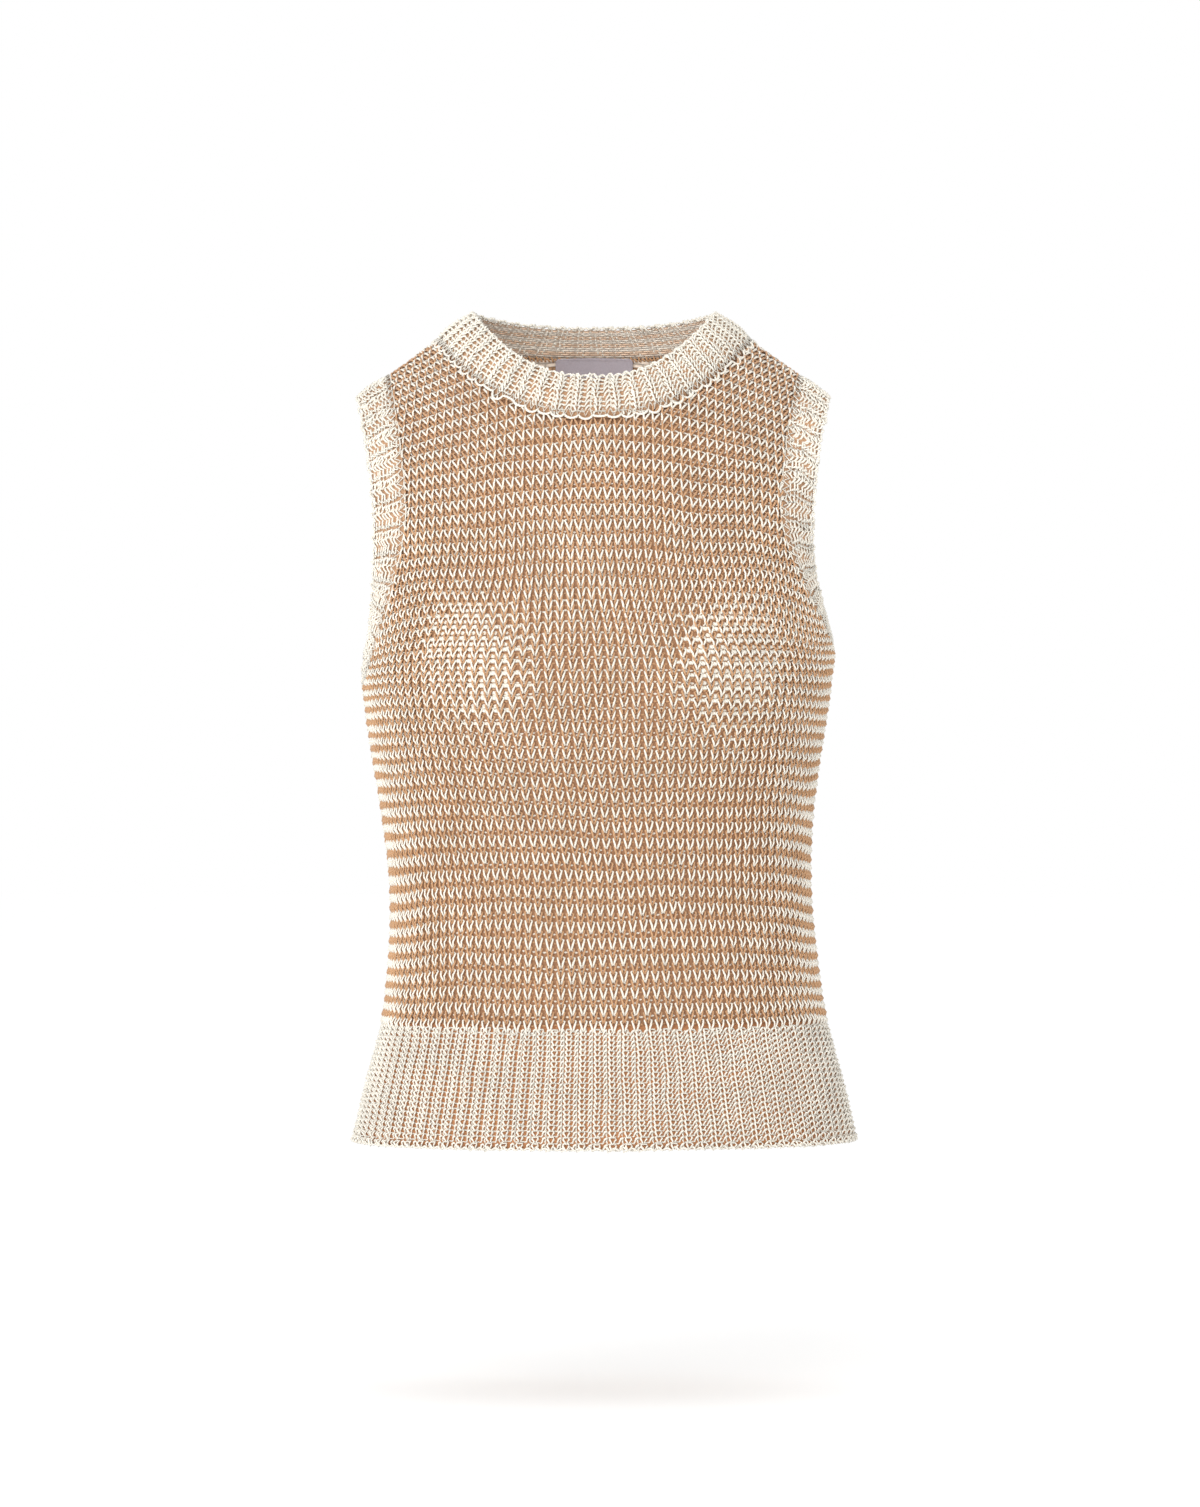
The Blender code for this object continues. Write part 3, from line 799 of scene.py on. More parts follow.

# %% [markdown]
# ## The ground of the cloth
#
# Each loop also has halves that lie at the back, with fuzz between them, and from a step away they
# close the cloth. One thin sheet stands for all that. It lies behind the middle of the loops, and its
# outer skin closes the holes with painted shade, the brown of yarn in shadow.
#
# Its inner skin is the wrong side of the knitting, which shows inside the neck. That side is a
# pattern of short bars, brick-wise, so its finish is made from two waves: one along the columns and
# one up the rows. Both are read from the map Cloth, which counts stitches, so the bars have the size
# of the loops on the other side.

# %% Thin sheets under the loops
GROUND_WALL = 0.0004
GROUND_DEPTH = {"panel": 0.00135, "hem": 0.0016}
NECK_STEPS = 18
SHOULDER_STEPS = 6
ARMHOLE_STEPS = 28
LOW_STEPS = 24


def thin_sheet(name, points, out, depth, wall, finish, cloth, slot, *stands_for, closed=False):
    """Two skins, half a wall each way from a grid that lies so deep under the points, joined round
    the rim, each with its own finish. Map OFBake lays the outer skin over the left half of the
    square and the inner one over the right. Map Cloth holds each place's stitch column and row."""
    rows, columns = points.shape[:2]
    middle, half = points - out * depth, out * wall / 2
    index = np.arange(rows * columns).reshape(rows, columns)
    right = np.roll(index, -1, axis=1) if closed else index[:, 1:]
    left = index if closed else index[:, :-1]
    outer = np.stack([left[:-1], right[:-1], right[1:], left[1:]], axis=-1).reshape(-1, 4)
    rims = [np.stack([left[0], right[0]], -1), np.stack([right[-1], left[-1]], -1)]
    if not closed:
        rims.append(np.stack([index[1:, 0], index[:-1, 0]], -1))
        rims.append(np.stack([index[:-1, -1], index[1:, -1]], -1))
    edges = np.concatenate(rims)
    away = rows * columns
    rim = np.stack([edges[:, 1], edges[:, 0], edges[:, 0] + away, edges[:, 1] + away], axis=-1)
    faces = np.concatenate([outer, outer[:, ::-1] + away, rim])
    mesh = smooth_mesh(name, np.concatenate([middle + half, middle - half]), faces, *finish)
    which = np.zeros(len(mesh.polygons), dtype=np.int32)
    which[len(outer):2 * len(outer)] = 1
    mesh.polygons.foreach_set("material_index", which)
    corner = np.empty(len(mesh.loops), dtype=np.int32)
    mesh.loops.foreach_get("vertex_index", corner)
    across, up = np.meshgrid(np.linspace(0.01, 0.49, columns), np.linspace(0.01, 0.99, rows))
    cloth_u, cloth_v = (np.tile(values.ravel(), 2)[corner] for values in cloth)
    lay_map(mesh, "Cloth", cloth_u, cloth_v)
    lay_map(mesh, "OFBake", np.append(across, across + 0.5)[corner], np.tile(up.ravel(), 2)[corner])
    hand_in(name, mesh, stands_for)


def half_panel(side, hand):
    """share and level of a half panel's grid. Below the underarm its rows are level, and above it
    they are ruled between the centre line, the armhole and the top edge (a Coons patch)."""
    along = np.linspace(0, 1, NECK_STEPS + SHOULDER_STEPS + 1)
    up = np.linspace(0, 1, ARMHOLE_STEPS + 1)
    neck = np.stack(place_on_form(*neck_outline(np.linspace(0, np.pi / 2, NECK_STEPS + 1), side)))
    neck[1, -1] = 2.0
    tip = place_on_form(TIP_X, ridge_height(TIP_X))[0]
    shoulder = np.stack([np.linspace(neck[0, -1], tip, SHOULDER_STEPS + 1)[1:], np.full(SHOULDER_STEPS, 2.0)])
    top = np.concatenate([neck, shoulder], axis=1)
    edge = np.stack(place_on_form(*armhole_outline(hand, up)))
    edge[0, 0] = 1.0
    edge[1, -1] = 2.0
    foot = 1 + (edge[1, 0] - 1) * along
    bottom = np.stack([along, foot])
    centre = np.stack([0 * up, foot[0] + (top[1, 0] - foot[0]) * up])
    s = along[None, None, :]
    q = up[None, :, None]
    ruled = (1 - q) * bottom[:, None, :] + q * top[:, None, :]
    ruled = ruled + (1 - s) * centre[:, :, None] + s * edge[:, :, None]
    corners = (1 - s) * (1 - q) * bottom[:, 0, None, None] + s * (1 - q) * bottom[:, -1, None, None]
    corners = corners + (1 - s) * q * top[:, 0, None, None] + s * q * top[:, -1, None, None]
    rise = np.linspace(0, 1, LOW_STEPS + 1)[:-1, None]
    lower = np.stack([along + 0 * rise, HEM_LEVEL + (foot - HEM_LEVEL) * rise])
    return np.concatenate([lower, ruled - corners], axis=1)


def panel_grid(side):
    """share and level of a whole panel's grid: the right half mirrored, then the left half."""
    right = half_panel(side, "right")[:, :, :0:-1] * np.array([-1.0, 1.0])[:, None, None]
    return np.concatenate([right, half_panel(side, "left")], axis=2)


def course_number(side, where, level):
    """The course at each place: how many of the upright's steps from line to line lie below it."""
    share, lines = panel_lines(side)
    upright = np.rint((where.ravel() + 1) / 2 * (len(share) - 1)).astype(int)
    steps = np.maximum(np.diff(lines, axis=0), 1e-6)[:, upright]
    return np.clip((level.ravel() - lines[:-1, upright]) / steps, 0, 1).sum(axis=0).reshape(where.shape)


def painted_shade_material(name, light, dark):
    """What is seen between the loops: painted shade, the colour of shaded yarn, light and dark by fine
    noise.
    """
    material, shader = new_material(name, {"Roughness": 0.95})
    grain = noise(shader, 900.0)
    tint(shader, dark, light, maths("MULTIPLY_ADD", grain, 2.4, -0.7))
    raise_by(shader, grain, 0.0004, 0.6)
    return material


def reverse_material(name, first, second, ribbed):
    """The wrong side: every half row is a line of short bars, |sin 2 pi v| * |cos pi (u + half row /
    2)| high, so the bars of one lie over the gaps of the next. Whole rows change colour in turn. Up
    to the share ribbed, every second column sinks back, by |sin (pi u / 2)|. The brightness of the
    colour is 0.50 + 0.62 * that height: painted shade in the gaps and in the sunken columns."""
    material, shader = new_material(name, {"Roughness": 0.85})
    u, v = map_axes(shader, "Cloth")
    shifted = maths("MULTIPLY_ADD", maths("FLOOR", maths("MULTIPLY", v, 2.0)), 0.5, u)
    tall = maths("ABSOLUTE", maths("SINE", maths("MULTIPLY", v, 2 * np.pi)))
    wide = maths("ABSOLUTE", maths("COSINE", maths("MULTIPLY", shifted, np.pi)))
    height = maths("POWER", maths("MULTIPLY", tall, wide), 0.55)
    column = maths("ABSOLUTE", maths("SINE", maths("MULTIPLY", u, np.pi / 2)))
    height = maths("MULTIPLY", height, maths("MULTIPLY_ADD", column, ribbed, 1 - ribbed))
    turn = maths("FLOORED_MODULO", maths("FLOOR", v), 2.0)
    # Brightness by height: painted shade between the bars and in the sunken columns.
    tint(shader, first, second, turn, maths("MULTIPLY_ADD", height, 0.62, 0.50))
    raise_by(shader, maths("MULTIPLY_ADD", noise(shader, 2200.0), 0.25, height), 0.0011, 0.9)
    return material


# The next three are painted shade: browns of yarn in shadow, darker than the yarns they lie under, for the
# holes of the panels, the hem and the bands.
PAINTED_SHADE_GROUND = painted_shade_material("painted_shade_tan", (0.38, 0.205, 0.11), (0.25, 0.125, 0.06))
HEM_PAINTED_SHADE_GROUND = painted_shade_material("painted_shade_hem", (0.50, 0.235, 0.105), (0.34, 0.145, 0.06))
BAND_PAINTED_SHADE_GROUND = painted_shade_material("painted_shade_cream", (0.52, 0.32, 0.19), (0.35, 0.19, 0.10))
STRIPED_REVERSE = reverse_material("striped_reverse", (0.93, 0.80, 0.67), (0.66, 0.39, 0.22), 0.0)
# The cream wrong side is painted lighter and warmer than the cream yarn: painted light on the inside of the
# hem and the bands, where the lamps reach less.
CREAM_REVERSE_PAINTED_LIGHT = reverse_material("cream_reverse_painted_light", (1.0, 0.90, 0.78), (0.98, 0.72, 0.53), 0.75)
for side in ("front", "back"):
    where, level = panel_grid(side)
    level = np.clip(level, 0, 2)
    points, out = skin(where, level, side)
    cloth = (where * BODY_WALES, course_number(side, where, level))
    thin_sheet(side + "_ground", points, out, GROUND_DEPTH["panel"], GROUND_WALL,
               (PAINTED_SHADE_GROUND, STRIPED_REVERSE), cloth, "tan_yarn", side + "_panel")

# %% [markdown]
# ## Ribs
#
# The hem, the neckband and the armbands are knitted one wale plain and one wale purl. The plain
# wales stand forward as cords of stacked Vs. The purl wales sink back, and there only the heads and
# links of the loops show, as two short bars a row. The row is the same waving strand as before. It
# only swings forward in a plain wale and back in a purl one.

# %% Knit the hem ribs
RIB_YARN_RADIUS = 0.00061
RIB = {"lean": 0.28, "purl_lean": 0.09, "purl_shift": 0.17, "rise": 0.72, "purl_rise": 0.46,
       "purl_slant": 0.25, "legs_out": 0.35}
HEM_SWING = 0.0013
HEM_DIVE = 0.0017
HEM_PER_STITCH = {"front": 7, "back": 5}  # path points a stitch
HEM_TOP_ROW = 0.0030  # the rows end this far below the seam
HEM_WALES = 46  # from the centre to a side line, so the front and the back have 46 ribs each
HEM_COURSES = 22
HEM_COURSE = 0.0030
HEM_CAST_ON = {"below": 0.0075, "course": 0.0039}
HEM_PLAIN_SHARE = 0.59  # of a rib's width
HEM_EDGE_LEVEL = 0.003
HEM_START_LEVEL = 0.002
HEM_WANDER = ((UP, 0.00018, 0, 30), (UP, 0.00025, 6, 20), (ACROSS, 0.00030, 5, 30), (OUT, 0.00020, 0, 36))
EDGE_SWELL = 0.0008


def rib_places(wale, plain_share):
    """Wales in pairs, the plain one widened and the purl one narrowed: the place in the lattice,
    the width as a share of an even wale, and the sign, 1 for plain and -1 for purl."""
    pair = np.floor(wale / 2) * 2
    within = wale - pair
    plain = within < 1
    moved = np.where(plain, within * 2 * plain_share, 2 * plain_share + (within - 1) * 2 * (1 - plain_share))
    width = np.where(plain, 2 * plain_share, 2 * (1 - plain_share))
    return pair + moved, width, np.where(plain, 1.0, -1.0)


def rib_offsets(place, sign, pitch, course, ease, swing, dive):
    """Sideways lean * pitch * sin 2t, upwards rise * course * cos t, and outwards
    sign * swing * (0.35 sin^2 t - cos 2t * (1 + cos t) / 2), so a plain head lies behind its legs
    and a purl head before them. Purl loops lean less, slant, and sit to one side. The links from
    plain to purl dive by the fourth power of (1 - cos t) / 2, which leaves a dark line there: real
    shadow, over the painted shade of the sheet behind."""
    t = 2 * np.pi * (place - 0.5)
    across = np.where(sign > 0, RIB["lean"], RIB["purl_lean"]) * pitch * np.sin(2 * t)
    across = across + np.where(sign < 0, RIB["purl_shift"] * pitch * (1 + np.cos(t)) / 2, 0)
    rise = np.where(sign > 0, RIB["rise"], RIB["purl_rise"]) * course * ease * np.cos(t)
    rise = rise + np.where(sign < 0, RIB["purl_slant"] * course * np.sin(t), 0)
    weave = sign * swing * (RIB["legs_out"] * np.sin(t) ** 2 - np.cos(2 * t) * (1 + np.cos(t)) / 2)
    return across, rise, weave - dive * ((1 - np.cos(t)) / 2) ** 4


def even_course(height, out_share):
    """The last two rows before the cast-on edge are looser than the rest."""
    return np.where(height < HEM_CAST_ON["below"], HEM_CAST_ON["course"], HEM_COURSE) + 0 * out_share


def knit_hem(side):
    """The rows of one side's hem rib as a path, from just over the edge to just under the seam."""
    last_level = (HEM_DEPTH - HEM_TOP_ROW) / FULL_HEIGHT
    lines = course_lines(side, 0.0, last_level, even_course, HEM_COURSES)
    per = HEM_PER_STITCH[side]
    wale = np.arange(-HEM_WALES * per, HEM_WALES * per + 1) / per + 1e-9
    moved, width, sign = rib_places(wale, HEM_PLAIN_SHARE)
    base, directions, pitch, *_ = cloth_at(side, lines, HEM_WALES, moved, relax=False)
    ease = ease_of(UNEVEN["hem"], len(base), wale, HEM_WALES)
    offsets = rib_offsets(wale % 1, sign, pitch * width, HEM_COURSE, ease, HEM_SWING, HEM_DIVE)
    return strands_of(lay(base, directions, offsets, HEM_WANDER), directions[OUT])


def edge_cord(points, out, turns, swell):
    """A strand that coils round an edge: up by the cosine and out by the sine of its turns. Every
    second turn, at the end of a plain rib, stands away half as far again."""
    up = np.cross(out, unit(np.gradient(points, axis=0)))
    angle = np.linspace(0, 2 * np.pi * turns, len(points))[:, None]
    reach = swell * (1 + 0.5 * np.cos(angle / 2))
    coil = points + reach * (np.cos(angle) * up + np.sin(angle) * out)
    return coil, out, np.zeros(len(points), int)


for side in ("front", "back"):
    rows = knit_hem(side)
    edge_skin = skin(np.linspace(-1, 1, 2 * HEM_WALES * 6 + 1), HEM_EDGE_LEVEL, side)
    edge = edge_cord(*edge_skin, 2 * HEM_WALES, EDGE_SWELL)
    yarn_piece(side + "_hem_yarn", [rows, edge], RIB_YARN_RADIUS, "cream", side + "_hem_rib")
    share, level = np.meshgrid(np.linspace(-1, 1, 121), np.linspace(HEM_START_LEVEL, HEM_LEVEL, 13))
    points, out = skin(share, level, side)
    cloth = (share * HEM_WALES, level / level.max() * HEM_COURSES)
    thin_sheet(side + "_hem_ground", points, out, GROUND_DEPTH["hem"], GROUND_WALL,
               (HEM_PAINTED_SHADE_GROUND, CREAM_REVERSE_PAINTED_LIGHT), cloth, "cream_yarn", side + "_hem_rib")

# %% [markdown]
# ## Bands round the neck and the arms
#
# Each band is one closed strip of the same rib, with its wales running from the seam to the free
# edge. The seam is the outline of the panels and the edge is a curve of its own, nearer to the
# neck or the arm, so a band is a ruled surface between two rings, with a slight swell. The rows go
# round it. A chain of cream yarn covers the neck seam in small arcs, where the band was linked on.
# A coil of tan yarn inside the back of the neck is painted shade: its dark dots stand for the shaded
# holes along the seam there.

# %% The neckband and the armbands
BAND_EDGE_X = 0.073
BAND_EDGE_HEIGHT = 0.4955
BAND_EDGE_Y = {"front": -0.065, "back": 0.051}
BAND_EDGE_DROP = {"front": 0.041, "back": 0.006}
CUFF_X = {"low": 0.1368, "mid": 0.1302, "top": 0.1412}
CUFF_RISE = 0.025
CUFF_TOP_HEIGHT = 0.4455
CUFF_HALF_DEPTH = 0.050
CUFF_BACK_SHIFT = 0.002
CUFF_MID_HEIGHT = 0.360
NECK_QUARTER = 120  # steps in a quarter of the neck ring
CUFF_HALF = 160  # steps in half an armhole ring
LINKED = 0.13  # of a band's width, taken up by the sewing
BAND_YARN_RADIUS = 0.00069
BAND_WALL = 0.0003
BAND_WANDER = ((UP, 0.0003, 0, 40), (ACROSS, 0.0005, 4, 24), (OUT, 0.0003, 5, 40))
SEWING = {"reach": 0.04, "sway": 0.0006, "away": 0.0007, "radius": 0.00052}
ARCS = {"uneven": 0.4, "fullness": 0.6, "above": 0.0006, "lift": 0.0004}  # of the chain
ARMBAND = {"ribs": 29, "courses": 8, "plain": 0.50, "swing": 0.0010, "dive": 0.0, "wander": 1.5,
           "bulge": 0.0010, "chain": (0.0010, -0.0004, 0.00055), "depth": 0.0006}
BANDS = {  # a chain is how far it hangs and stands away, and its radius; depth is the ground's
    "neckband": {"ribs": 44, "courses": 8, "plain": 0.46, "swing": 0.0014, "dive": 0.0004, "wander": 1.0,
                 "bulge": 0.0015, "chain": (0.0024, 0.0010, 0.00080), "depth": 0.0009},
    "right_armband": ARMBAND,
    "left_armband": ARMBAND,
}
# A coil of tan yarn inside the back neck seam: painted shade, whose dots stand for the shaded holes there.
NECK_SHADE_COIL = {"turns": 110, "from_corner": 10, "inwards": 0.0016, "swell": 0.0009, "radius": 0.00065}


def neckband_edges():
    """Seam, its outward directions and the free edge, from the front centre to the wearer's left."""
    angles = np.linspace(0, np.pi / 2, NECK_QUARTER + 1)
    quarters = []
    for side, sign, backwards in (("front", 1, 0), ("back", 1, 1), ("back", -1, 0), ("front", -1, 1)):
        angle = (angles[::-1] if backwards else angles)[:-1]
        where, level = place_on_form(*neck_outline(angle, side))
        level = np.where(np.isclose(angle, np.pi / 2), 2.0, level)
        y = RIDGE_Y + (BAND_EDGE_Y[side] - RIDGE_Y) * np.cos(angle)
        z = BAND_EDGE_HEIGHT - BAND_EDGE_DROP[side] * (1 - np.sin(angle) ** NECK_POWER)
        edge = posed(sign * BAND_EDGE_X * np.sin(angle), y, z)
        quarters.append((*skin(sign * where, level, side), edge))
    return map(np.concatenate, zip(*quarters))


def armband_edges(hand):
    """Up the front of the armhole from the underarm to the shoulder tip, and down the back."""
    rise = np.linspace(0, 1, CUFF_HALF + 1)
    low = UNDERARM_HEIGHT[hand] + CUFF_RISE
    halves = []
    for side, share in (("front", rise[:-1]), ("back", rise[:0:-1])):
        seam_x, seam_z = armhole_outline(hand, share)
        where, level = place_on_form(seam_x, seam_z)
        where = np.where(share == 0, 1.0, where)
        level = np.where(share == 1, 2.0, level)
        climbed = (1 - np.cos(np.pi * share)) / 2
        z = seam_z + CUFF_RISE * (1 - climbed) ** 3 + (CUFF_TOP_HEIGHT - ridge_height(TIP_X)) * climbed
        z = np.clip(z, low, CUFF_TOP_HEIGHT)
        turn = np.arccos(np.clip(1 - 2 * (z - low) / (CUFF_TOP_HEIGHT - low), -1, 1))
        down = np.clip((CUFF_MID_HEIGHT - z) / (CUFF_MID_HEIGHT - low), 0, 1)
        up = np.clip((z - CUFF_MID_HEIGHT) / (CUFF_TOP_HEIGHT - CUFF_MID_HEIGHT), 0, 1)
        x = CUFF_X["mid"] + (CUFF_X["low"] - CUFF_X["mid"]) * down**2
        x = x + (CUFF_X["top"] - CUFF_X["mid"]) * up**2
        y = CUFF_BACK_SHIFT + FACING[side] * CUFF_HALF_DEPTH * np.clip(np.sin(turn), 0, 1) ** 0.8
        halves.append((*skin(SIDE_SIGN[hand] * where, level, side), posed(SIDE_SIGN[hand] * x, y, z)))
    return map(np.concatenate, zip(*halves))


def round_smooth(values, passes):
    """Neighbours averaged, half and half with each point, round a closed ring."""
    for _ in range(passes):
        values = values / 2 + (np.roll(values, 1, axis=0) + np.roll(values, -1, axis=0)) / 4
    return values


def band_form(seam, seam_out, edge, bulge):
    """A band's rings, closed, and its measures. face is its own outward direction, the cross
    product of the ring and of seam to edge, and at is each point's share of the way round."""
    around = np.roll(seam, -1, axis=0) - np.roll(seam, 1, axis=0)
    face = unit(np.cross(around, unit(edge - seam)))
    face = unit(round_smooth(face * np.sign(np.sum(face * seam_out)), 20))
    rings = {"seam": seam, "edge": edge, "seam_out": round_smooth(seam_out, 12), "face": face}
    form = {key: np.concatenate([values, values[:1]]) for key, values in rings.items()}
    run = run_of((form["seam"] + form["edge"]) / 2)
    width = np.linalg.norm(edge - seam, axis=1).mean()
    return {**form, "at": run / run[-1], "length": run[-1], "width": width, "bulge": bulge}


def on_band(form, around, across):
    """Points and outward directions at around 0 to 1 (shares of the ring's length half way up)
    and across 0 at the seam to 1 at the edge, swelling by bulge * sin(180 deg * across)."""
    around = np.where(around == 1, 1, around % 1)
    rings = (form[key] for key in ("seam", "edge", "seam_out", "face"))
    seam, edge, seam_out, face = (read_path(around, form["at"], values) for values in rings)
    v = across[..., None]
    points = seam * (1 - v) + edge * v + face * form["bulge"] * np.sin(np.pi * v)
    return points, unit(seam_out * (1 - v) ** 2 + face * (1 - (1 - v) ** 2))


def knit_band(made, form):
    """The rows of a band as a path: each goes once round, and the first lies next to the sewing."""
    wales = 2 * made["ribs"]
    wale = np.arange(wales * 8 + 1) / 8
    moved, width, sign = rib_places(np.minimum(wale, wales - 1e-9), made["plain"])
    rows = LINKED + (1 - LINKED) * (np.arange(made["courses"]) + 0.5) / made["courses"]
    around, across = np.meshgrid(moved / wales, rows)
    base, out = on_band(form, around, across)
    along = unit(on_band(form, around + 1e-3, across)[0] - on_band(form, around - 1e-3, across)[0])
    up = unit(on_band(form, around, across + 0.02)[0] - on_band(form, around, across - 0.02)[0])
    ease = ease_of(UNEVEN["band"], made["courses"], wale - made["ribs"], made["ribs"])
    offsets = rib_offsets(wale % 1, sign, form["length"] / wales * width, form["width"] / made["courses"],
                          ease, made["swing"], made["dive"])
    return strands_of(lay(base, (along, up, out), offsets, BAND_WANDER, made["wander"]), out)


def scalloped_chain(form, scallops, hang, away, radius):
    """The seam's chain: a strand round the seam that hangs below it in arcs, hang * |sin|^0.6."""
    around = np.linspace(0, 1, scallops * 8 + 1)
    base, out = on_band(form, around, np.zeros_like(around))
    up = unit(on_band(form, around, around * 0 + 0.1)[0] - base)
    uneven = 1 + ARCS["uneven"] * random.standard_normal(scallops + 1)[(around * scallops).astype(int)]
    swing = (np.abs(np.sin(np.pi * scallops * around)) ** ARCS["fullness"] * uneven)[:, None]
    chain = base + up * (ARCS["above"] - hang * swing) + out * (away + ARCS["lift"] * swing)
    return chain, out, np.zeros(len(around), int), radius


def sewn_on(form, stitches):
    """The sewing of band to panel: a zigzag from under the chain to the band's first row."""
    around = np.linspace(0, 1, 2 * stitches + 1)
    across = np.where(np.arange(2 * stitches + 1) % 2, LINKED + SEWING["reach"], 0.0)
    base, out = on_band(form, around, across)
    sway = SEWING["sway"] * random.standard_normal((len(around), 1))
    return base + out * (SEWING["away"] + sway / 3), out, np.zeros(len(around), int), SEWING["radius"]


forms = {"neckband": band_form(*neckband_edges(), BANDS["neckband"]["bulge"])}
for hand in SIDE_SIGN:
    forms[hand + "_armband"] = band_form(*armband_edges(hand), ARMBAND["bulge"])
for name, form in forms.items():
    made = BANDS[name]
    wales = 2 * made["ribs"]
    rows = knit_band(made, form)
    around = np.linspace(0, 1, wales * 6 + 1)
    rim = edge_cord(*on_band(form, around, np.ones_like(around)), wales, EDGE_SWELL)
    chain = scalloped_chain(form, int(made["ribs"] * 1.5), *made["chain"])
    paths = [rows, rim, chain, sewn_on(form, made["ribs"] * 3)]
    yarn_piece(name + "_yarn", paths, BAND_YARN_RADIUS, "cream", name)
    around, across = np.meshgrid(np.linspace(0, 1, 241)[:-1], np.linspace(0, 0.96, 7))
    points, out = on_band(form, around, across)
    if np.sum(np.cross(points[0, 1] - points[0, 0], points[1, 0] - points[0, 0]) * out[0, 0]) < 0:
        points, out, around, across = (values[:, ::-1] for values in (points, out, around, across))
    thin_sheet(name + "_ground", points, out, made["depth"], BAND_WALL, (BAND_PAINTED_SHADE_GROUND, CREAM_REVERSE_PAINTED_LIGHT),
               (around * wales, across * made["courses"]), "cream_yarn", name, closed=True)

seam, out, _ = neckband_edges()
back = slice(NECK_QUARTER + NECK_SHADE_COIL["from_corner"], 3 * NECK_QUARTER - NECK_SHADE_COIL["from_corner"])
inside = seam[back] - out[back] * NECK_SHADE_COIL["inwards"]
turns = np.linspace(0, 1, 8 * NECK_SHADE_COIL["turns"])
at = np.linspace(0, 1, len(inside))
inside, out = (read_path(turns, at, values) for values in (inside, out[back]))
knots = edge_cord(inside, out, NECK_SHADE_COIL["turns"], NECK_SHADE_COIL["swell"])
yarn_piece("neck_seam_shade_coil", [knots], NECK_SHADE_COIL["radius"], "tan", "neckband", "back_panel")

# %% [markdown]
# ## Seams
#
# The panels are sewn together down the sides and along the shoulders, stitch to stitch, so a seam is
# a thin coil sunk between two edges. It also closes the line where the rows of the two panels meet.

# %% Side and shoulder seams
SEAM = {"sunk": 0.0006, "swell": 0.0005, "radius": 0.0009}


def seam_path(ends, level_ends, count):
    """A coil along a line of the form where two pieces meet, sunk a little into the cloth."""
    where, level = np.linspace(*ends, count), np.linspace(*level_ends, count)
    (front, front_out), (back, back_out) = (skin(where, level, side) for side in ("front", "back"))
    out = unit(front_out + back_out)
    return edge_cord((front + back) / 2 - out * SEAM["sunk"], out, count // 6, SEAM["swell"])


corner_share = place_on_form(NECK_CORNER["x"], NECK_CORNER["height"])[0]
tip_share = place_on_form(TIP_X, ridge_height(TIP_X))[0]
tan_seams, cream_seams = [], []
for hand, sign in SIDE_SIGN.items():
    underarm = min(UNDERARM_HEIGHT[hand] / FULL_HEIGHT, 1.0)
    tan_seams.append(seam_path((sign, sign), (HEM_LEVEL, underarm), 200))
    cream_seams.append(seam_path((sign, sign), (HEM_START_LEVEL, HEM_LEVEL), 80))
    tan_seams.append(seam_path((sign * corner_share, sign * tip_share), (2.0, 2.0), 48))
yarn_piece("panel_seams", tan_seams, SEAM["radius"], "tan", "front_panel", "back_panel")
yarn_piece("hem_seams", cream_seams, SEAM["radius"], "cream", "front_hem_rib", "back_hem_rib")

# %% [markdown]
# ## The neck label
#
# A woven satin ribbon is sewn inside the back of the neck. It is left bare. Its grid follows the
# inside of the cloth, with its two upper corners rounded, and its finish is a fine weave across the
# ribbon with a smoother, tighter sheen than the yarn has. That sheen is partly real gloss and partly
# painted sheen on the threads, with painted shade between them.

# %% The neck label
LABEL = {"width": 0.048, "above_seam": 0.0030, "below_seam": 0.0150, "wall": 0.0006, "inwards": 0.0030,
         "corner": 0.0022, "sag": 0.006, "threads": (90, 70)}


def satin_material(name, light, dark):
    """Fine threads across the ribbon, |sin| of its map's rows, in bump and in colour: the colour is
    light on the threads, broken by noise, as painted sheen, and dark between them, as painted shade.
    """
    material, shader = new_material(name, {"Roughness": 0.36})
    _, v = map_axes(shader, "Cloth")
    thread = maths("ABSOLUTE", maths("SINE", maths("MULTIPLY", v, np.pi)))
    grain = noise(shader, 1500.0)
    value = maths("MULTIPLY_ADD", grain, 0.3, 0.9)
    tint(shader, dark, light, maths("MULTIPLY", thread, grain), value)
    raise_by(shader, thread, 0.0001, 0.4)
    return material


def inside_back(x, below):
    """Points and outward directions at x, so far below the back neck seam. A negative distance
    lies on the neckband, at that share of its width."""
    seam_x, seam_z = neck_outline(np.arcsin(np.abs(x) / NECK_CORNER["x"]), "back")
    points, out = skin(*place_on_form(x, seam_z - np.maximum(below, 0)), "back")
    band = forms["neckband"]
    far = np.abs(band["seam"][None, None] - on_form(*place_on_form(x, seam_z), "back")[:, :, None])
    around = np.argmin(far.sum(axis=-1), axis=-1)
    rise = (np.maximum(-below, 0) / band["width"])[..., None]
    lifted = band["seam"][around] * (1 - rise) + band["edge"][around] * rise
    above = (below < 0)[..., None]
    return np.where(above, lifted, points), np.where(above, unit(out + band["face"][around] * rise * 3), out)


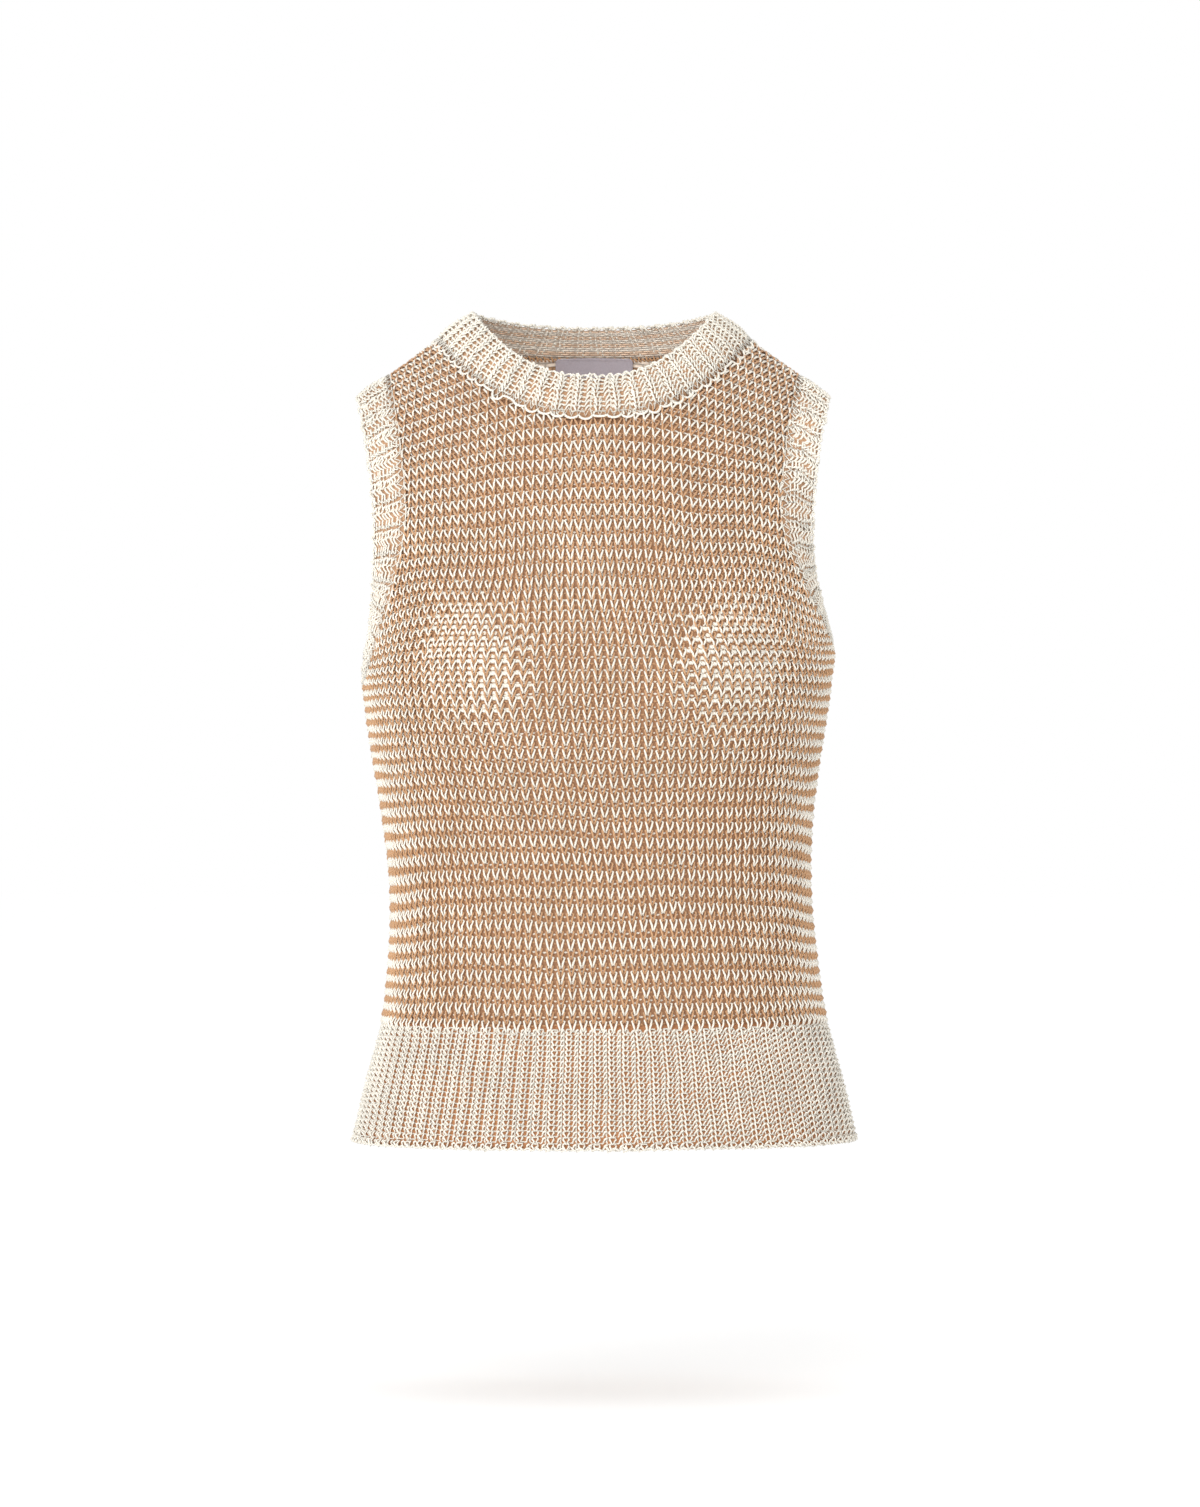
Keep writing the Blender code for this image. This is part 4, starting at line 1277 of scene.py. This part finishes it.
SATIN = satin_material("lilac_satin", (0.52, 0.47, 0.52), (0.40, 0.36, 0.40))
across, down = np.meshgrid(np.linspace(-0.5, 0.5, 41), np.linspace(1, 0, 19))
corner = np.clip((np.abs(across) - 0.44) / 0.06, 0, 1)
top = LABEL["corner"] * (1 - np.sqrt(1 - corner**2)) + LABEL["sag"] * across**2 - LABEL["above_seam"]
points, out = inside_back(across * LABEL["width"], top + (LABEL["below_seam"] - top) * down)
cloth = (across * LABEL["threads"][0], down * LABEL["threads"][1])
thin_sheet("neck_label_satin", points, out, LABEL["inwards"], LABEL["wall"], (SATIN, SATIN), cloth,
           "satin", "neck_label")

# %% [markdown]

# %% [markdown]
# ## Floor, light and view
#
# The top stands as on an unseen wearer, over a plain white floor. The world lights it evenly, and
# one wide soft lamp, low and a little to the left of the view, gives the loops their small shadows.
# The view is level, straight at the front and from far off, so the garment hardly tapers.

# %% Floor, light and view
FLOOR_HEIGHT = -0.62
VIEW_DISTANCE = 4
VIEW_HEIGHT = 0.72 * 1507 / 1200  # how much of the scene the view shows at the top's distance

bpy.context.scene.view_settings.view_transform = "Standard"
WHITE = (1, 1, 1, 1)
pale, _ = new_material("pale_floor", {"Base Color": WHITE, "Roughness": 1.0, "Specular IOR Level": 0.0})
floor_corners = np.array([(-9, -5, FLOOR_HEIGHT), (9, -5, FLOOR_HEIGHT), (9, 14, FLOOR_HEIGHT),
                          (-9, 14, FLOOR_HEIGHT)])
put("floor", smooth_mesh("floor", floor_corners, np.arange(4)[None], pale))

world = bpy.data.worlds.new("studio")
bpy.context.scene.world = world
world.use_nodes = True
feed(world.node_tree.nodes["Background"], {"Color": WHITE, "Strength": 1.0})

window = bpy.data.lights.new("window", "AREA")
window.energy = 68
window.size = 2.5
key = put("window", window)
key.location = (-0.9, -3.0, 0.6)
key.rotation_euler = (np.radians(75), 0, np.radians(-17))

lens = bpy.data.cameras.new("view")
lens.sensor_width = 36
lens.lens = 36 * VIEW_DISTANCE / VIEW_HEIGHT
view = put("view", lens)
view.location = (0.0027, -VIEW_DISTANCE, -0.2384)
view.rotation_euler = (np.radians(90), 0, 0)
bpy.context.scene.camera = view
print("the view shows", round(VIEW_HEIGHT, 3), "m from bottom to top")
